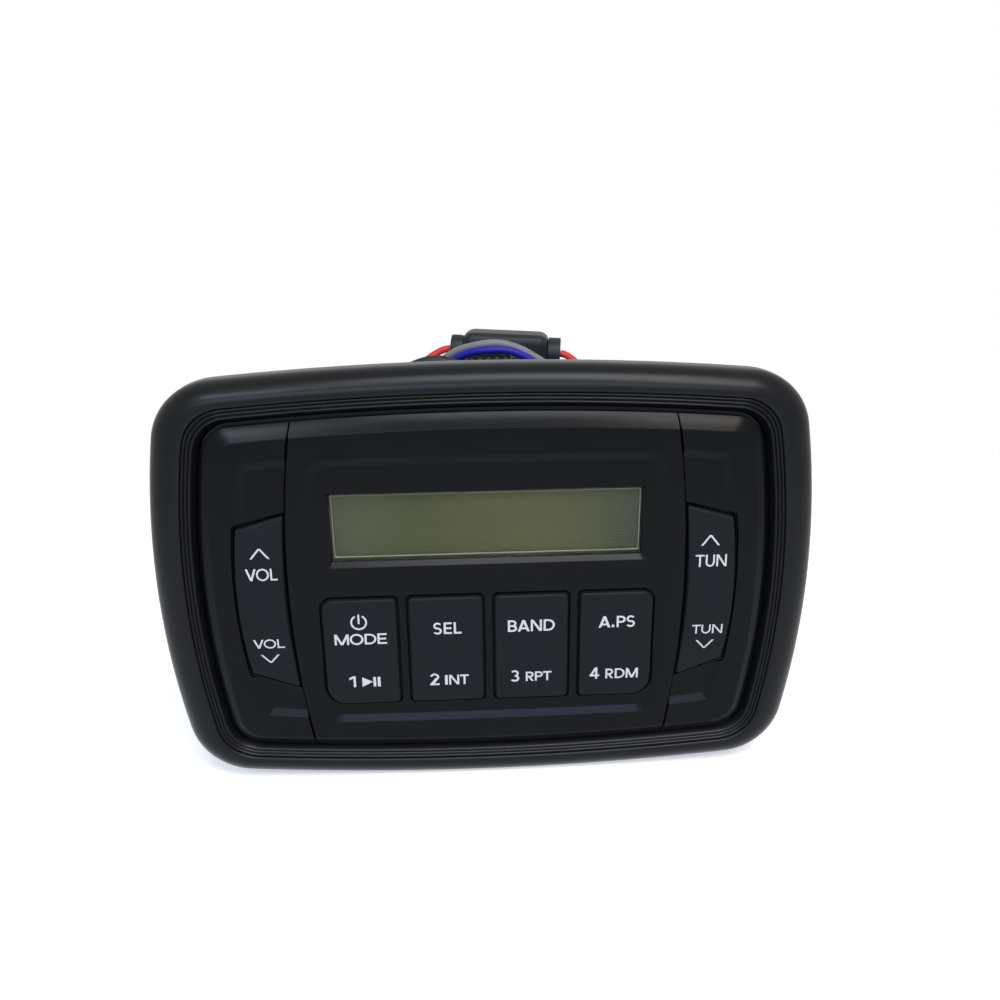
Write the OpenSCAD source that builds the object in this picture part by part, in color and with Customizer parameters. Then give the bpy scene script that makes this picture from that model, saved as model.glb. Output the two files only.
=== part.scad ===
// A panel-mounted spa stereo: a bowed trim ring, a three-part front, four keys,
// two rocker keys, a display, a sealed housing behind the panel and its leads.
// Millimetres. X to the right, Z up, the front looks towards -Y.
// The plane Y = 0 is the panel's face, and the origin is the middle of the screw pattern.

/* [Trim bezel] */
// Width of the bezel at its widest
bezel_w = 160; // [154:1:170]
// Height of the bezel at its tallest
bezel_h = 107.6; // [104:0.2:114]
// How far the bezel stands out from the panel
bezel_proud = 12.2; // [12:0.1:14]
// Radius of the bowed left and right sides
side_bow_r = 211; // [190:1:260]
// Radius of the bowed top and bottom
top_bow_r = 725; // [600:5:900]
// Radius of the bezel's outer corners
corner_r = 15.8; // [14:0.2:18]
// Width of the rounded band at the sides
side_band = 7.9; // [7.2:0.1:8.6]
// Width of the rounded band at the top and bottom
top_band = 6; // [5.6:0.1:6.8]
// Distance from the panel to the bezel's widest line
widest_at = 4; // [3.4:0.1:5]
// Number of fine ridges round the inner edge
ridge_count = 3; // [2:1:4]
// Distance from one ridge to the next
ridge_pitch = 0.87; // [0.8:0.01:1]
// Depth of the valleys between the ridges
ridge_depth = 0.45; // [0.3:0.05:0.6]
// Width of the sloped edge inside the ridges
inner_edge_w = 0.84; // [0.7:0.02:1]
// Thickness of the bezel's inner wall
bezel_inner_wall = 1.2; // [1:0.1:1.5]

/* [Front] */
// Distance from the panel to the flat front face
face_at = 12; // [11.6:0.1:12.6]
// Thickness of the front plates
plate_t = 2; // [1.8:0.1:2.4]
// Gap between the bezel and the front
front_gap = 0.35; // [0.2:0.05:0.5]
// Width of the sloped margin
bevel_w = 2.8; // [2:0.1:3.4]
// Drop of the sloped margin
bevel_drop = 1.8; // [1.2:0.1:2]
// Corner radius of the front at its edge
front_corner_r = 7.6; // [7:0.1:9]
// Width of a wing at mid height, from the seam to the front's edge
wing_w = 20.3; // [19.4:0.1:21]
// Radius of the bowed seams
seam_bow_r = 235; // [200:5:300]
// Width of the seams
seam_gap = 0.3; // [0.2:0.05:0.4]
// Depth of the shallow recesses
recess_depth = 0.9; // [0.6:0.05:1]
// Width of the recesses' sloped walls
recess_slope = 2; // [1.4:0.1:2.4]
// Flat margin beside the middle recess
recess_side = 4.4; // [4:0.1:4.8]
// Flat margin above the middle recess, with the sloped edge
recess_above = 10.5; // [9.8:0.1:11.4]
// Flat margin below the middle recess, with the sloped edge
recess_below = 8.2; // [7.8:0.1:9]

/* [Display] */
// Margin from the seam to the display's side
display_side = 11.3; // [10.8:0.1:14]
// Height of the visible display
display_h = 16.4; // [14:0.1:17]
// Distance from the recess's top to the display
display_drop = 9.5; // [9:0.1:11]
// Thickness of the clear window
window_t = 1.2; // [1:0.1:1.2]
// Thickness of the display glass
glass_t = 1.75; // [1.4:0.05:1.75]
// How far the display parts reach behind the front's opening
display_lap = 1.6; // [1.2:0.1:2]

/* [Keys] */
// Margin from the seam to the outer keys' openings
key_side = 7.125; // [6.9:0.025:7.6]
// Width of the ribs between the key openings
rib_w = 2.05; // [2:0.05:2.4]
// Distance from the display to the key openings
key_space = 9.3; // [8.8:0.1:11]
// Distance from the key openings to the recess's bottom
key_foot = 5; // [4.8:0.1:7]
// Gap between a key and its opening
key_gap = 0.45; // [0.35:0.05:0.6]
// Distance from the panel to the face of the keys
key_face_at = 12.1; // [11.8:0.1:12.4]
// Travel of a key
key_travel = 0.8; // [0.5:0.1:0.8]
// Thickness of a key's retaining lip
key_lip_t = 0.8; // [0.6:0.1:0.9]
// How far the retaining lip reaches past the key's side
key_lip_w = 1.15; // [0.9:0.05:1.15]

/* [Rockers] */
// Distance from the front's edge to the rocker openings at mid height
rocker_rim = 8; // [7.8:0.1:8.6]
// Radius of the rockers' bowed outer edge
rocker_bow_r = 140; // [120:1:180]
// Distance from the pocket's top to the rocker's opening
rocker_above = 13.9; // [13:0.1:16]
// Distance from the rocker's opening to the pocket's bottom
rocker_below = 8.7; // [8.2:0.1:11]
// How much the slanted ends drop from the inner to the outer edge
rocker_slant = 3.2; // [2.4:0.1:3.4]
// Gap round a rocker
rocker_gap = 0.5; // [0.45:0.05:0.7]
// Height of the rocker's crown above the front face
rocker_crown = 1.1; // [0.8:0.1:1.3]
// Radius of the rocker's crowned face
rocker_crown_r = 170; // [140:5:220]
// Radius of the pivot pins
pivot_r = 0.8; // [0.7:0.05:0.9]
// Radial clearance of a rocker on its pin
pivot_clearance = 0.05; // [0.03:0.01:0.08]

/* [Case] */
// Thickness of the mounting flange
flange_t = 3; // [2.8:0.1:3.2]
// Height of the wall that carries the front
case_wall_t = 2; // [1.6:0.1:2.4]
// Distance from the bezel's side to the mounting holes
mount_side = 8.5; // [8.2:0.1:9]
// Distance from the bezel's top to the mounting holes
mount_end = 23.8; // [22.8:0.1:28]
// Radius of the mounting holes
mount_hole_r = 1.9; // [1.7:0.05:2.1]
// Thickness of the panel gasket
gasket_t = 1; // [0.8:0.1:1.4]
// Width of the panel gasket
gasket_w = 3; // [2.4:0.1:3]
// Clearance of the housing in the panel's cut-out
cutout_gap = 1; // [0.8:0.1:1.2]

/* [Housing] */
// How far the bezel laps past the housing at the sides
lap_side = 17; // [16.5:0.1:18]
// How far the bezel laps past the housing at the top and bottom
lap_end = 13.8; // [13.3:0.1:13.8]
// Depth of the housing behind the panel
housing_d = 56; // [56:0.5:62]
// Wall of the housing
housing_wall = 2.6; // [2.2:0.1:3]
// Corner radius of the housing
housing_r = 6; // [4:0.5:8]
// Thickness of the housing seal
seal_t = 0.8; // [0.6:0.1:1.2]
// Distance from the housing's side to the case screws
case_screw_side = 6.5; // [6:0.1:6.6]
// Distance from the housing's top to the case screws
case_screw_end = 5; // [4.8:0.1:5.2]

/* [Boards] */
// Thickness of the circuit boards
board_t = 1.6; // [1.2:0.1:1.6]
// Height of the main board above the housing's floor
board_rise = 19.8; // [16:0.1:22]
// Gap between the main board and the housing's side walls
board_side_gap = 8.4; // [7.5:0.1:10]
// Gap between the main board and the housing's rear wall
board_rear_gap = 3.4; // [3.2:0.1:4]

/* [Heat sink] */
// Width of the heat sink
sink_w = 84; // [76:1:92]
// Height of the heat sink
sink_h = 44; // [40:1:50]
// Thickness of the heat sink's base
sink_base_t = 2.4; // [2:0.1:3]
// Height of the fins
fin_h = 5; // [3:0.5:8]
// Number of fins
fin_count = 13; // [9:1:15]
// Thickness of a fin
fin_t = 1.6; // [1.2:0.1:2]

/* [Leads] */
// Diameter of the coloured leads
lead_d = 2; // [1.6:0.1:2]
// Diameter of the black cable
cable_d = 3; // [2.6:0.1:3]
// Radius of the ribbed boot at its root
boot_root_r = 4.55; // [4.3:0.05:4.6]
// Radius of the ribbed boot at its tip
boot_tip_r = 2.7; // [2.4:0.05:2.8]
// Height of the fuse holder's body
fuse_body_h = 11; // [10.6:0.1:11.2]
// Depth of the fuse holder's body
fuse_body_d = 11; // [10:0.1:11]

/* [Hidden] */

// Small gap between faces that nearly touch
touch_gap = 0.1;
// Overlap that lets a cut run past a face
past = 1;
// Half sizes of the bezel
half_w = bezel_w / 2;
half_h = bezel_h / 2;
// Share of the band that the bezel's outer wall takes
wall_share = 0.23;
// Share of the band where the flange's edge lies
flange_share = 0.3;
// Share of the corner radius that is lost across the band
corner_loss = 5.4;
// Inset of the ridges' inner side and of the bezel's inner wall from the band's foot
ridges_w = ridge_count * ridge_pitch;
rim_w = ridges_w + inner_edge_w;
// Half sizes of the front at its outer edge
front_a = half_w - side_band - rim_w - front_gap;
front_b = half_h - top_band - rim_w - front_gap;
// Half widths of the middle part and of what it holds
seam_half = front_a - wing_w;
recess_half_w = seam_half - recess_side;
recess_top = front_b - recess_above;
recess_bottom = front_b - recess_below;
window_half = seam_half - display_side;
display_top = recess_top - display_drop;
display_bottom = display_top - display_h;
key_field = 2 * (seam_half - key_side);
key_hole_w = (key_field - 3 * rib_w) / 4;
key_pitch = key_hole_w + rib_w;
key_top_z = display_bottom - key_space;
key_bottom_z = key_foot - recess_bottom;
key_mid_z = (key_top_z + key_bottom_z) / 2;
rocker_out = front_a - rocker_rim;
// Half sizes of the housing and its inside
housing_w = bezel_w - 2 * lap_side;
housing_h = bezel_h - 2 * lap_end;
housing_top = housing_h / 2;
inner_x = housing_w / 2 - housing_wall;
inner_z = housing_h / 2 - housing_wall;
// Places of the mounting holes and the case screws
mount_x = half_w - mount_side;
mount_z = half_h - mount_end;
case_screw_x = housing_w / 2 - case_screw_side;
case_screw_z = housing_h / 2 - case_screw_end;
// Bow radii of the front's outline
front_rs = side_bow_r - half_w + front_a;
front_rt = top_bow_r - half_h + front_b;
// Where the front's skirt rests on the case
skirt_at = face_at - bevel_drop - 1.4;
plate_back = face_at - plate_t;
recess_floor = face_at - recess_depth;

// Points on each stretch of a bowed outline's quarter
side_steps = 4;
corner_steps = 7;
top_steps = 5;

// Centre of the corner arc that touches both bowed sides
function corner_centre(a, b, rs, rt, rc) =
    let (from_side = [a - rs, 0], from_top = [0, b - rt])
    let (d = norm(from_top - from_side), dir = (from_top - from_side) / d)
    let (ra = rs - rc, rb = rt - rc)
    let (along = (ra * ra - rb * rb + d * d) / (2 * d))
    let (across = sqrt(ra * ra - along * along))
    from_side + along * dir + across * [-dir[1], dir[0]];

function arc(c, r, from, to, steps, last = 0) =
    [for (i = [0:steps - 1 + last]) let (t = from + (to - from) * i / steps) c + r * [cos(t), sin(t)]];

// A quarter of the outline, from the middle of the right side to the middle of the top
function bowed_quarter(a, b, rs, rt, rc) =
    let (c = corner_centre(a, b, rs, rt, rc))
    let (t1 = atan2(c[1], c[0] - a + rs), t2 = atan2(c[1] - b + rt, c[0]))
    concat(arc([a - rs, 0], rs, 0, t1, side_steps), arc(c, rc, t1, t2, corner_steps),
        arc([0, b - rt], rt, t2, 90, top_steps, 1));

function mirrored(points, sx, sz, flip) =
    let (n = len(points))
    [for (i = [1:n - 1]) let (p = points[flip ? n - 1 - i : i]) [sx * p[0], sz * p[1]]];

function bowed_outline(a, b, rs, rt, rc) =
    let (q = bowed_quarter(a, b, rs, rt, rc))
    concat(mirrored(q, 1, 1, false), mirrored(q, -1, 1, true), mirrored(q, -1, -1, false),
        mirrored(q, 1, -1, true));

// Outline of the bezel at a share of its band, then a plain inset past the band's foot
function bezel_outline(share, inset = 0) =
    bowed_outline(half_w - share * side_band - inset, half_h - share * top_band - inset,
        side_bow_r - share * side_band - inset, top_bow_r - share * top_band - inset,
        corner_r - share * corner_loss - inset * 0.7);

// Outline of the front, inset from its outer edge
function front_outline(inset = 0) =
    bowed_outline(front_a - inset, front_b - inset, front_rs - inset, front_rt - inset,
        front_corner_r - min(inset, 4) * 0.5);

// Rectangle with four corner radii, from the lower left round to the upper left
function round_rect(x0, z0, x1, z1, r, steps = 6) =
    concat(arc([x0 + r[0], z0 + r[0]], r[0], 180, 270, steps, 1),
        arc([x1 - r[1], z0 + r[1]], r[1], 270, 360, steps, 1),
        arc([x1 - r[2], z1 - r[2]], r[2], 0, 90, steps, 1),
        arc([x0 + r[3], z1 - r[3]], r[3], 90, 180, steps, 1));

// A flat shape drawn in X and Z, made solid from one depth to another
module slab(y0, y1) {
    rotate([90, 0, 0])
        translate([0, 0, -y1])
            linear_extrude(y1 - y0)
                children();
}

// A round bar along Y
module bar_y(x, z, y0, y1, r, sides = 48) {
    slab(y0, y1)
        translate([x, z])
            circle(r, $fn = sides);
}

// A skin over a row of outlines, each with its own depth, closed at both ends
module loft(outlines, depths) {
    n = len(outlines[0]);
    last = len(outlines) - 1;
    points = [for (k = [0:last]) for (p = outlines[k]) [p[0], depths[k], p[1]]];
    walls = [for (k = [0:last - 1]) for (i = [0:n - 1]) let (j = (i + 1) % n)
        [k * n + i, k * n + j, (k + 1) * n + j, (k + 1) * n + i]];
    front = [[for (i = [0:n - 1]) n - 1 - i]];
    back = [[for (i = [0:n - 1]) last * n + i]];
    polyhedron(points, concat(walls, front, back), convexity = 6);
}

// A closed ring: the outlines go round the section and back to the first
module ring_loft(outlines, depths) {
    n = len(outlines[0]);
    m = len(outlines);
    points = [for (k = [0:m - 1]) for (p = outlines[k]) [p[0], depths[k], p[1]]];
    walls = [for (k = [0:m - 1]) for (i = [0:n - 1]) let (j = (i + 1) % n, l = (k + 1) % m)
        [k * n + i, k * n + j, l * n + j, l * n + i]];
    polyhedron(points, walls, convexity = 8);
}

// Small pan-head screw along Y, its head's underside at y, pointing to dir
module screw(x, z, y, dir, head_r, head_t, shank_r, shank_l) {
    low = dir > 0 ? y - head_t : y;
    shank_low = dir > 0 ? y : y - shank_l;
    bar_y(x, z, low, low + head_t, head_r);
    bar_y(x, z, shank_low, shank_low + shank_l, shank_r);
}

/* [Hidden] */
// Section of the bezel: the crest of the round band and its foot
crest_share = 0.62;
band_steps = 7;
foot_at = bezel_proud - 0.8;
valley_at = foot_at - 0.35;
inner_wall_end = flange_t + 0.3;
inner_edge_drop = 1.6;
bezel_rear = 0.3;
roof_t = 1.6;

// Points across the ridges, from the inner edge out to the foot
ridge_steps = 4;
ridge_section = [for (i = [0:ridge_count * ridge_steps])
    let (f = i / ridge_steps)
    [1, ridges_w - f * ridge_pitch, valley_at + ridge_depth * abs(sin(180 * f))]];
// Points over the round band, from the foot out to the widest line
band_section = [for (i = [0:band_steps])
    let (t = 90 * i / band_steps)
    [crest_share * (1 - sin(t)), 0, widest_at + (bezel_proud - widest_at) * cos(t)]];
inside_section = [
    [wall_share, 0, bezel_rear],
    [wall_share, 0, widest_at + 2],
    [wall_share + 0.16, 0, bezel_proud - 3.4],
    [crest_share, 0, bezel_proud - roof_t],
    [1, bezel_inner_wall, valley_at - roof_t],
    [1, rim_w - bezel_inner_wall, valley_at - roof_t],
    [1, rim_w - bezel_inner_wall, inner_wall_end],
    [1, rim_w, inner_wall_end],
    [1, rim_w, valley_at - inner_edge_drop]];
bezel_section = concat(ridge_section, [[0.9, 0, foot_at + 0.35]], band_section,
    [[0.1, 0, bezel_rear]], inside_section);

// Places of the tabs that hold the bezel on the flange
tab_l = 8;
tab_x = 34;
tab_low = 1.4;
tab_high = 2.2;
tab_bite = 0.7;
tab_play = 0.3;
function top_edge(share, x) =
    let (r = top_bow_r - share * top_band) half_h - share * top_band - r + sqrt(r * r - x * x);

module tabs(grow) {
    for (sx = [-1, 1], sz = [-1, 1])
        translate([sx * tab_x - tab_l / 2 - grow, -tab_high - grow,
            sz > 0 ? top_edge(flange_share, tab_x) - tab_bite - grow
                : -top_edge(wall_share, tab_x) - tab_bite])
            cube([tab_l + 2 * grow, tab_high - tab_low + 2 * grow,
                top_edge(wall_share, tab_x) - top_edge(flange_share, tab_x)
                    + 2 * tab_bite + grow]);
}

module trim_bezel() color("#24282a") {
    ring_loft([for (s = bezel_section) bezel_outline(s[0], s[1])],
        [for (s = bezel_section) -s[2]]);
    tabs(0);
}

// The region between the two seams, drawn in X and Z
module centre_region(gap) {
    reach = seam_half - gap;
    intersection() {
        translate([reach - seam_bow_r, 0])
            circle(seam_bow_r, $fn = 360);
        translate([seam_bow_r - reach, 0])
            circle(seam_bow_r, $fn = 360);
        square([2 * reach, bezel_h], center = true);
    }
}

// The region of one wing, on the right for side 1 and on the left for side -1
module wing_region(side, gap) {
    difference() {
        translate([side > 0 ? 0 : -half_w, -half_h])
            square([half_w, bezel_h]);
        centre_region(-gap);
    }
}

// The whole front before it is split: a flat island with sloped margins and a skirt
module front_island() {
    loft([front_outline(bevel_w), front_outline(0), front_outline(0)],
        [-face_at, -face_at + bevel_drop, -skirt_at]);
}

module front_hollow() {
    slab(-plate_back, 0)
        polygon(front_outline(case_wall_t));
}

// A shallow recess with sloped walls, cut by this solid
module sloped_cut(outer, inner, top_at, floor_at) {
    loft([outer, outer, inner], [-top_at - past, -top_at, -floor_at]);
}

recess_mid = (recess_top - recess_bottom) / 2;
recess_b = (recess_top + recess_bottom) / 2;
recess_bow = 320;
recess_flat = 2600;
recess_r = 5;
function shifted(points, dz) = [for (p = points) [p[0], p[1] + dz]];
function recess_outline(inset) = shifted(bowed_outline(recess_half_w - inset,
    recess_b - inset, recess_bow, recess_flat, recess_r - inset / 2), recess_mid);

// How much wider the window opening is at the front
window_flare = 1.1;
ledge = 1.6;

function flared_window(y_share) = round_rect(
    -window_half - window_flare * y_share, display_bottom - ledge * y_share,
    window_half + window_flare * y_share, display_top + 0.7 * y_share,
    [for (i = [0:3]) 0.3 + 0.6 * y_share], 4);

// Corner radii of the four key openings, lower left round to upper left
small_r = 1.2;
key_radii = [[5, small_r, small_r, 3], [small_r, small_r, small_r, small_r],
    [small_r, small_r, small_r, small_r], [small_r, 5, 3, small_r]];

function key_x(i) = (i - 1.5) * key_pitch;
function key_outline(i, inset) = round_rect(
    key_x(i) - key_hole_w / 2 + inset, key_bottom_z + inset,
    key_x(i) + key_hole_w / 2 - inset, key_top_z - inset,
    [for (r = key_radii[i]) max(0.4, r - inset * 0.6)]);

// Bosses behind the front that take its screws
boss_r = 2.3;
pilot_r = 0.9;
boss_margin = 3.2;
centre_boss_side = 9.5;
wing_boss_drop = 8;
centre_boss_x = seam_half - centre_boss_side;
centre_boss_z = inner_z - boss_margin;
wing_boss_x = inner_x - boss_margin;
wing_boss_z = case_screw_z - wing_boss_drop;
centre_bosses = [for (sx = [-1, 1], sz = [-1, 1]) [sx * centre_boss_x, sz * centre_boss_z]];
function wing_bosses(side) = [for (sz = [-1, 1]) [side * wing_boss_x, sz * wing_boss_z]];
all_bosses = concat(centre_bosses, wing_bosses(1), wing_bosses(-1));

module bosses(places) {
    for (p = places)
        bar_y(p[0], p[1], -plate_back - 0.2, -flange_t - touch_gap, boss_r);
}

module pilots(places) {
    for (p = places)
        bar_y(p[0], p[1], -plate_back + 1, 0, pilot_r);
}

module fascia_centre() color("#1c2022") difference() {
    union() {
        difference() {
            intersection() {
                front_island();
                slab(-face_at - past, 0)
                    centre_region(seam_gap / 2);
            }
            front_hollow();
        }
        bosses(centre_bosses);
    }
    sloped_cut(recess_outline(0), recess_outline(recess_slope), face_at, recess_floor);
    sloped_cut(flared_window(1), flared_window(0), recess_floor, plate_back);
    slab(-plate_back - past, 0)
        polygon(flared_window(0));
    for (i = [0:3])
        slab(-face_at - past, 0)
            polygon(key_outline(i, 0));
    pilots(centre_bosses);
}

// Pockets and rocker openings: their ends
pocket_above = 9.6;
pocket_below = 9;
pocket_top = front_b - pocket_above;
pocket_bottom = pocket_below - front_b;
rocker_hole_top = pocket_top - rocker_above;
rocker_hole_low = pocket_bottom + rocker_below;
rocker_mid = (rocker_hole_top + rocker_hole_low) / 2;
rocker_len = rocker_hole_top - rocker_hole_low;

// Outer edge of the rocker opening and of the pocket, at a height
function rocker_edge(z, inset) =
    rocker_out - inset - rocker_bow_r + sqrt(rocker_bow_r * rocker_bow_r - z * z);
function seam_edge(z, gap) =
    seam_half + gap - seam_bow_r + sqrt(seam_bow_r * seam_bow_r - z * z);

// Rocker outline on the right side: bowed edges and slanted ends
edge_steps = 10;
function rocker_outline(inset, inner_inset) =
    let (rise = rocker_slant * inner_inset / (rocker_out - seam_half))
    let (top_in = rocker_hole_top - inset - rise, top_out = rocker_hole_top - inset - rocker_slant)
    let (low_in = rocker_hole_low + inset + rise, low_out = rocker_hole_low + inset + rocker_slant)
    concat(
        [for (i = [0:edge_steps]) let (z = top_in + (low_in - top_in) * i / edge_steps)
            [seam_edge(z, inner_inset), z]],
        [for (i = [0:edge_steps]) let (z = low_out + (top_out - low_out) * i / edge_steps)
            [rocker_edge(z, inset), z]]);

// Pocket outline on the right side; its inner edge lies well inside the centre
pocket_slant = 1.8;
pocket_lap = 8;
function pocket_outline(inset) =
    let (top = pocket_top - inset, low = pocket_bottom + inset)
    concat(
        [[seam_half - pocket_lap, top], [seam_half - pocket_lap, low]],
        [for (i = [0:edge_steps])
            let (z = low + pocket_slant + (top - low - 2 * pocket_slant) * i / edge_steps)
            [rocker_edge(z, inset), z]]);

module mirrored_x(side) {
    if (side > 0)
        children();
    else
        mirror([1, 0, 0])
            children();
}

module wing(side) {
    difference() {
        union() {
            difference() {
                intersection() {
                    front_island();
                    slab(-face_at - past, 0)
                        wing_region(side, seam_gap / 2);
                }
                front_hollow();
            }
            bosses(wing_bosses(side));
        }
        mirrored_x(side) {
            sloped_cut(pocket_outline(0), pocket_outline(recess_slope), face_at, recess_floor);
            slab(-face_at - past, 0)
                polygon(rocker_outline(0, -2));
        }
        pilots(wing_bosses(side));
    }
}

module left_wing() color("#1e2224") wing(-1);
module right_wing() color("#1e2224") wing(1);

// Depths of the display's layers, front to back
window_front = plate_back - touch_gap;
window_back = window_front - window_t;
glass_front = window_back - 0.05;
glass_back = glass_front - glass_t;
board_front = 5.1;
board_back = board_front - board_t;

module display_layer(y0, y1, lap) {
    slab(-y0, -y1)
        polygon(round_rect(-window_half - lap, display_bottom - lap, window_half + lap,
            display_top + lap, [0.6, 0.6, 0.6, 0.6], 4));
}

module display_window() color("#c8d0c8", 0.4) display_layer(window_front, window_back, display_lap);
module lcd_glass() color("#53573f") display_layer(glass_front, glass_back, display_lap - 0.2);
module backlight() color("#e8e8e0") display_layer(glass_back - 0.05, board_front + 0.05, display_lap - 0.4);

// A key cap: a chamfered block with a thin lip that stays behind the front plate
key_chamfer = 0.55;
key_back = plate_back - 0.3 - key_lip_t;
module key(i) {
    loft([key_outline(i, key_gap + key_chamfer), key_outline(i, key_gap), key_outline(i, key_gap)],
        [-key_face_at, -key_face_at + key_chamfer, -key_back]);
    slab(-key_back - key_lip_t, -key_back)
        polygon(key_outline(i, key_gap - key_lip_w));
}

module mode_key() color("#202426") key(0);
module select_key() color("#202426") key(1);
module band_key() color("#202426") key(2);
module scan_key() color("#202426") key(3);

// Rocker: a crowned cap with a pivot barrel and two pegs that press the switches
rocker_back = 9.4;
pivot_at = 7.2;
barrel_r = 2;
barrel_side = 2.8;
barrel_rim = 3.7;
barrel_x0 = seam_half + barrel_side;
barrel_x1 = rocker_out - barrel_rim;
ear_t = 1.5;
ear_gap = 0.3;
peg_inset = 7.4;
peg_reach = rocker_len / 2 - peg_inset;
peg_x = (barrel_x0 + barrel_x1) / 2;
peg_r = 1.4;
rocker_swing = 2;
switch_top = 7.4;
peg_end = switch_top + peg_reach * sin(rocker_swing) + touch_gap;

module rocker_solid() {
    difference() {
        union() {
            intersection() {
                slab(-face_at - 2 * past, -rocker_back)
                    polygon(rocker_outline(rocker_gap, rocker_gap - 0.1));
                translate([0, -face_at - rocker_crown + rocker_crown_r, rocker_mid])
                    rotate([0, 90, 0])
                        cylinder(r = rocker_crown_r, h = half_w, $fn = 360);
            }
            translate([barrel_x0, -pivot_at, rocker_mid])
                rotate([0, 90, 0])
                    cylinder(r = barrel_r, h = barrel_x1 - barrel_x0, $fn = 48);
            translate([barrel_x0, -rocker_back - 0.2, rocker_mid - barrel_r / 2])
                cube([barrel_x1 - barrel_x0, rocker_back - pivot_at, barrel_r]);
            for (sz = [-1, 1])
                bar_y(peg_x, rocker_mid + sz * peg_reach, -rocker_back - 0.2, -peg_end, peg_r);
        }
        translate([barrel_x0 - past, -pivot_at, rocker_mid])
            rotate([0, 90, 0])
                cylinder(r = pivot_r + pivot_clearance, h = barrel_x1 - barrel_x0 + 2 * past, $fn = 48);
    }
}

module volume_rocker() color("#1f2325") mirrored_x(-1) rocker_solid();
module tuning_rocker() color("#1f2325") mirrored_x(1) rocker_solid();

pin_x0 = barrel_x0 - ear_gap - ear_t;
pin_x1 = barrel_x1 + ear_gap + ear_t;
module pivot_pin(side) {
    mirrored_x(side)
        translate([pin_x0, -pivot_at, rocker_mid])
            rotate([0, 90, 0])
                cylinder(r = pivot_r, h = pin_x1 - pin_x0, $fn = 48);
}

module volume_pin() color("#b8bcc0") pivot_pin(-1);
module tuning_pin() color("#b8bcc0") pivot_pin(1);

// Rubber mat: a sheet with a dome under each key
mat_t = 0.8;
mat_inset = 1;
dome_r = 4;
dome_end = key_back - key_travel - 0.05;
module key_mat() color("#5a5e60") {
    slab(-board_front - mat_t, -board_front)
        polygon(round_rect(key_x(0) - key_hole_w / 2 + mat_inset, key_bottom_z + mat_inset,
            key_x(3) + key_hole_w / 2 - mat_inset, key_top_z - mat_inset, [2, 2, 2, 2], 4));
    for (i = [0:3])
        bar_y(key_x(i), key_mid_z, -dome_end, -board_front - mat_t + 0.2, dome_r);
}

// Push switches under the rockers' pegs, one at each end
switch_w = 6;
module key_switches() color("#3a3c3e")
    for (side = [-1, 1], sz = [-1, 1])
        translate([side * peg_x, 0, rocker_mid + sz * peg_reach]) {
            translate([-switch_w / 2, -board_front - 1.7, -switch_w / 2])
                cube([switch_w, 1.7, switch_w]);
            bar_y(0, 0, -switch_top, -board_front - 1.5, 1.6);
        }

// Display board, with slots round the rockers' ears
board_rim = 1.1;
board_shoulder = 1;
board_foot = 1;
board_head = 4.4;
board_screw_side = 4.4;
board_screw_end = 2.4;
board_half_w = rocker_out + board_rim;
board_mid_half_w = seam_half - board_shoulder;
board_low = key_bottom_z - board_foot;
board_high = display_top + board_head;
switch_reach = peg_reach + switch_w / 2 + 1;
board_screw_x = seam_half - board_screw_side;
board_screws = [for (sx = [-1, 1], z = [board_high - board_screw_end, board_low + board_screw_end])
    [sx * board_screw_x, z]];
ear_half = 2.6;
ear_slot_gap = 0.4;
board_screw_r = 1.1;

module display_board() color("#2c5a3c") difference() {
    slab(-board_front, -board_back) {
        polygon(round_rect(-board_mid_half_w, board_low, board_mid_half_w, board_high, [1, 1, 1, 1], 3));
        polygon(round_rect(-board_half_w, rocker_mid - switch_reach, board_half_w,
            rocker_mid + switch_reach, [1, 1, 1, 1], 3));
    }
    for (side = [-1, 1])
        mirrored_x(side)
            translate([pin_x0 - ear_slot_gap, -board_front - past, rocker_mid - ear_half - ear_slot_gap])
                cube([pin_x1 - pin_x0 + 2 * ear_slot_gap, board_t + 2 * past, 2 * (ear_half + ear_slot_gap)]);
    for (p = board_screws)
        bar_y(p[0], p[1], -board_front - past, 0, board_screw_r + 0.15);
}

board_head_r = 2;
board_head_t = 1.2;
board_screw_l = 4.4;
module display_board_screws() color("#9a9ea2")
    for (p = board_screws)
        screw(p[0], p[1], -board_front, 1, board_head_r, board_head_t, board_screw_r - 0.05, board_screw_l);

// Front case: the mounting flange, a wall that carries the front, posts and ears
opening_w = 72;
opening_h = 44;
mount_holes = [for (sx = [-1, 1], sz = [-1, 1]) [sx * mount_x, sz * mount_z]];
case_screws_at = [for (sx = [-1, 1], sz = [-1, 1]) [sx * case_screw_x, sz * case_screw_z]];
head_pocket_r = 2.7;
head_pocket_t = 1.6;
gasket_margin = 0.8;
case_screw_r = 1.5;
case_post_r = 3.2;
case_post_end = 6.4;

module gasket_ring() {
    x = housing_w / 2 + cutout_gap + gasket_margin;
    z = housing_h / 2 + cutout_gap + gasket_margin;
    difference() {
        round_box_shape(2 * (x + gasket_w), 2 * (z + gasket_w), 7);
        round_box_shape(2 * x, 2 * z, 7 - gasket_w);
    }
}

module ear(side, x) {
    mirrored_x(side)
        translate([x, 0, rocker_mid])
            difference() {
                union() {
                    translate([0, -pivot_at, -ear_half])
                        cube([ear_t, pivot_at - flange_t + 0.5, 2 * ear_half]);
                    translate([0, -pivot_at, 0])
                        rotate([0, 90, 0])
                            cylinder(r = 2, h = ear_t, $fn = 48);
                }
                translate([-past, -pivot_at, 0])
                    rotate([0, 90, 0])
                        cylinder(r = pivot_r, h = ear_t + 2 * past, $fn = 48);
            }
}

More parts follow.
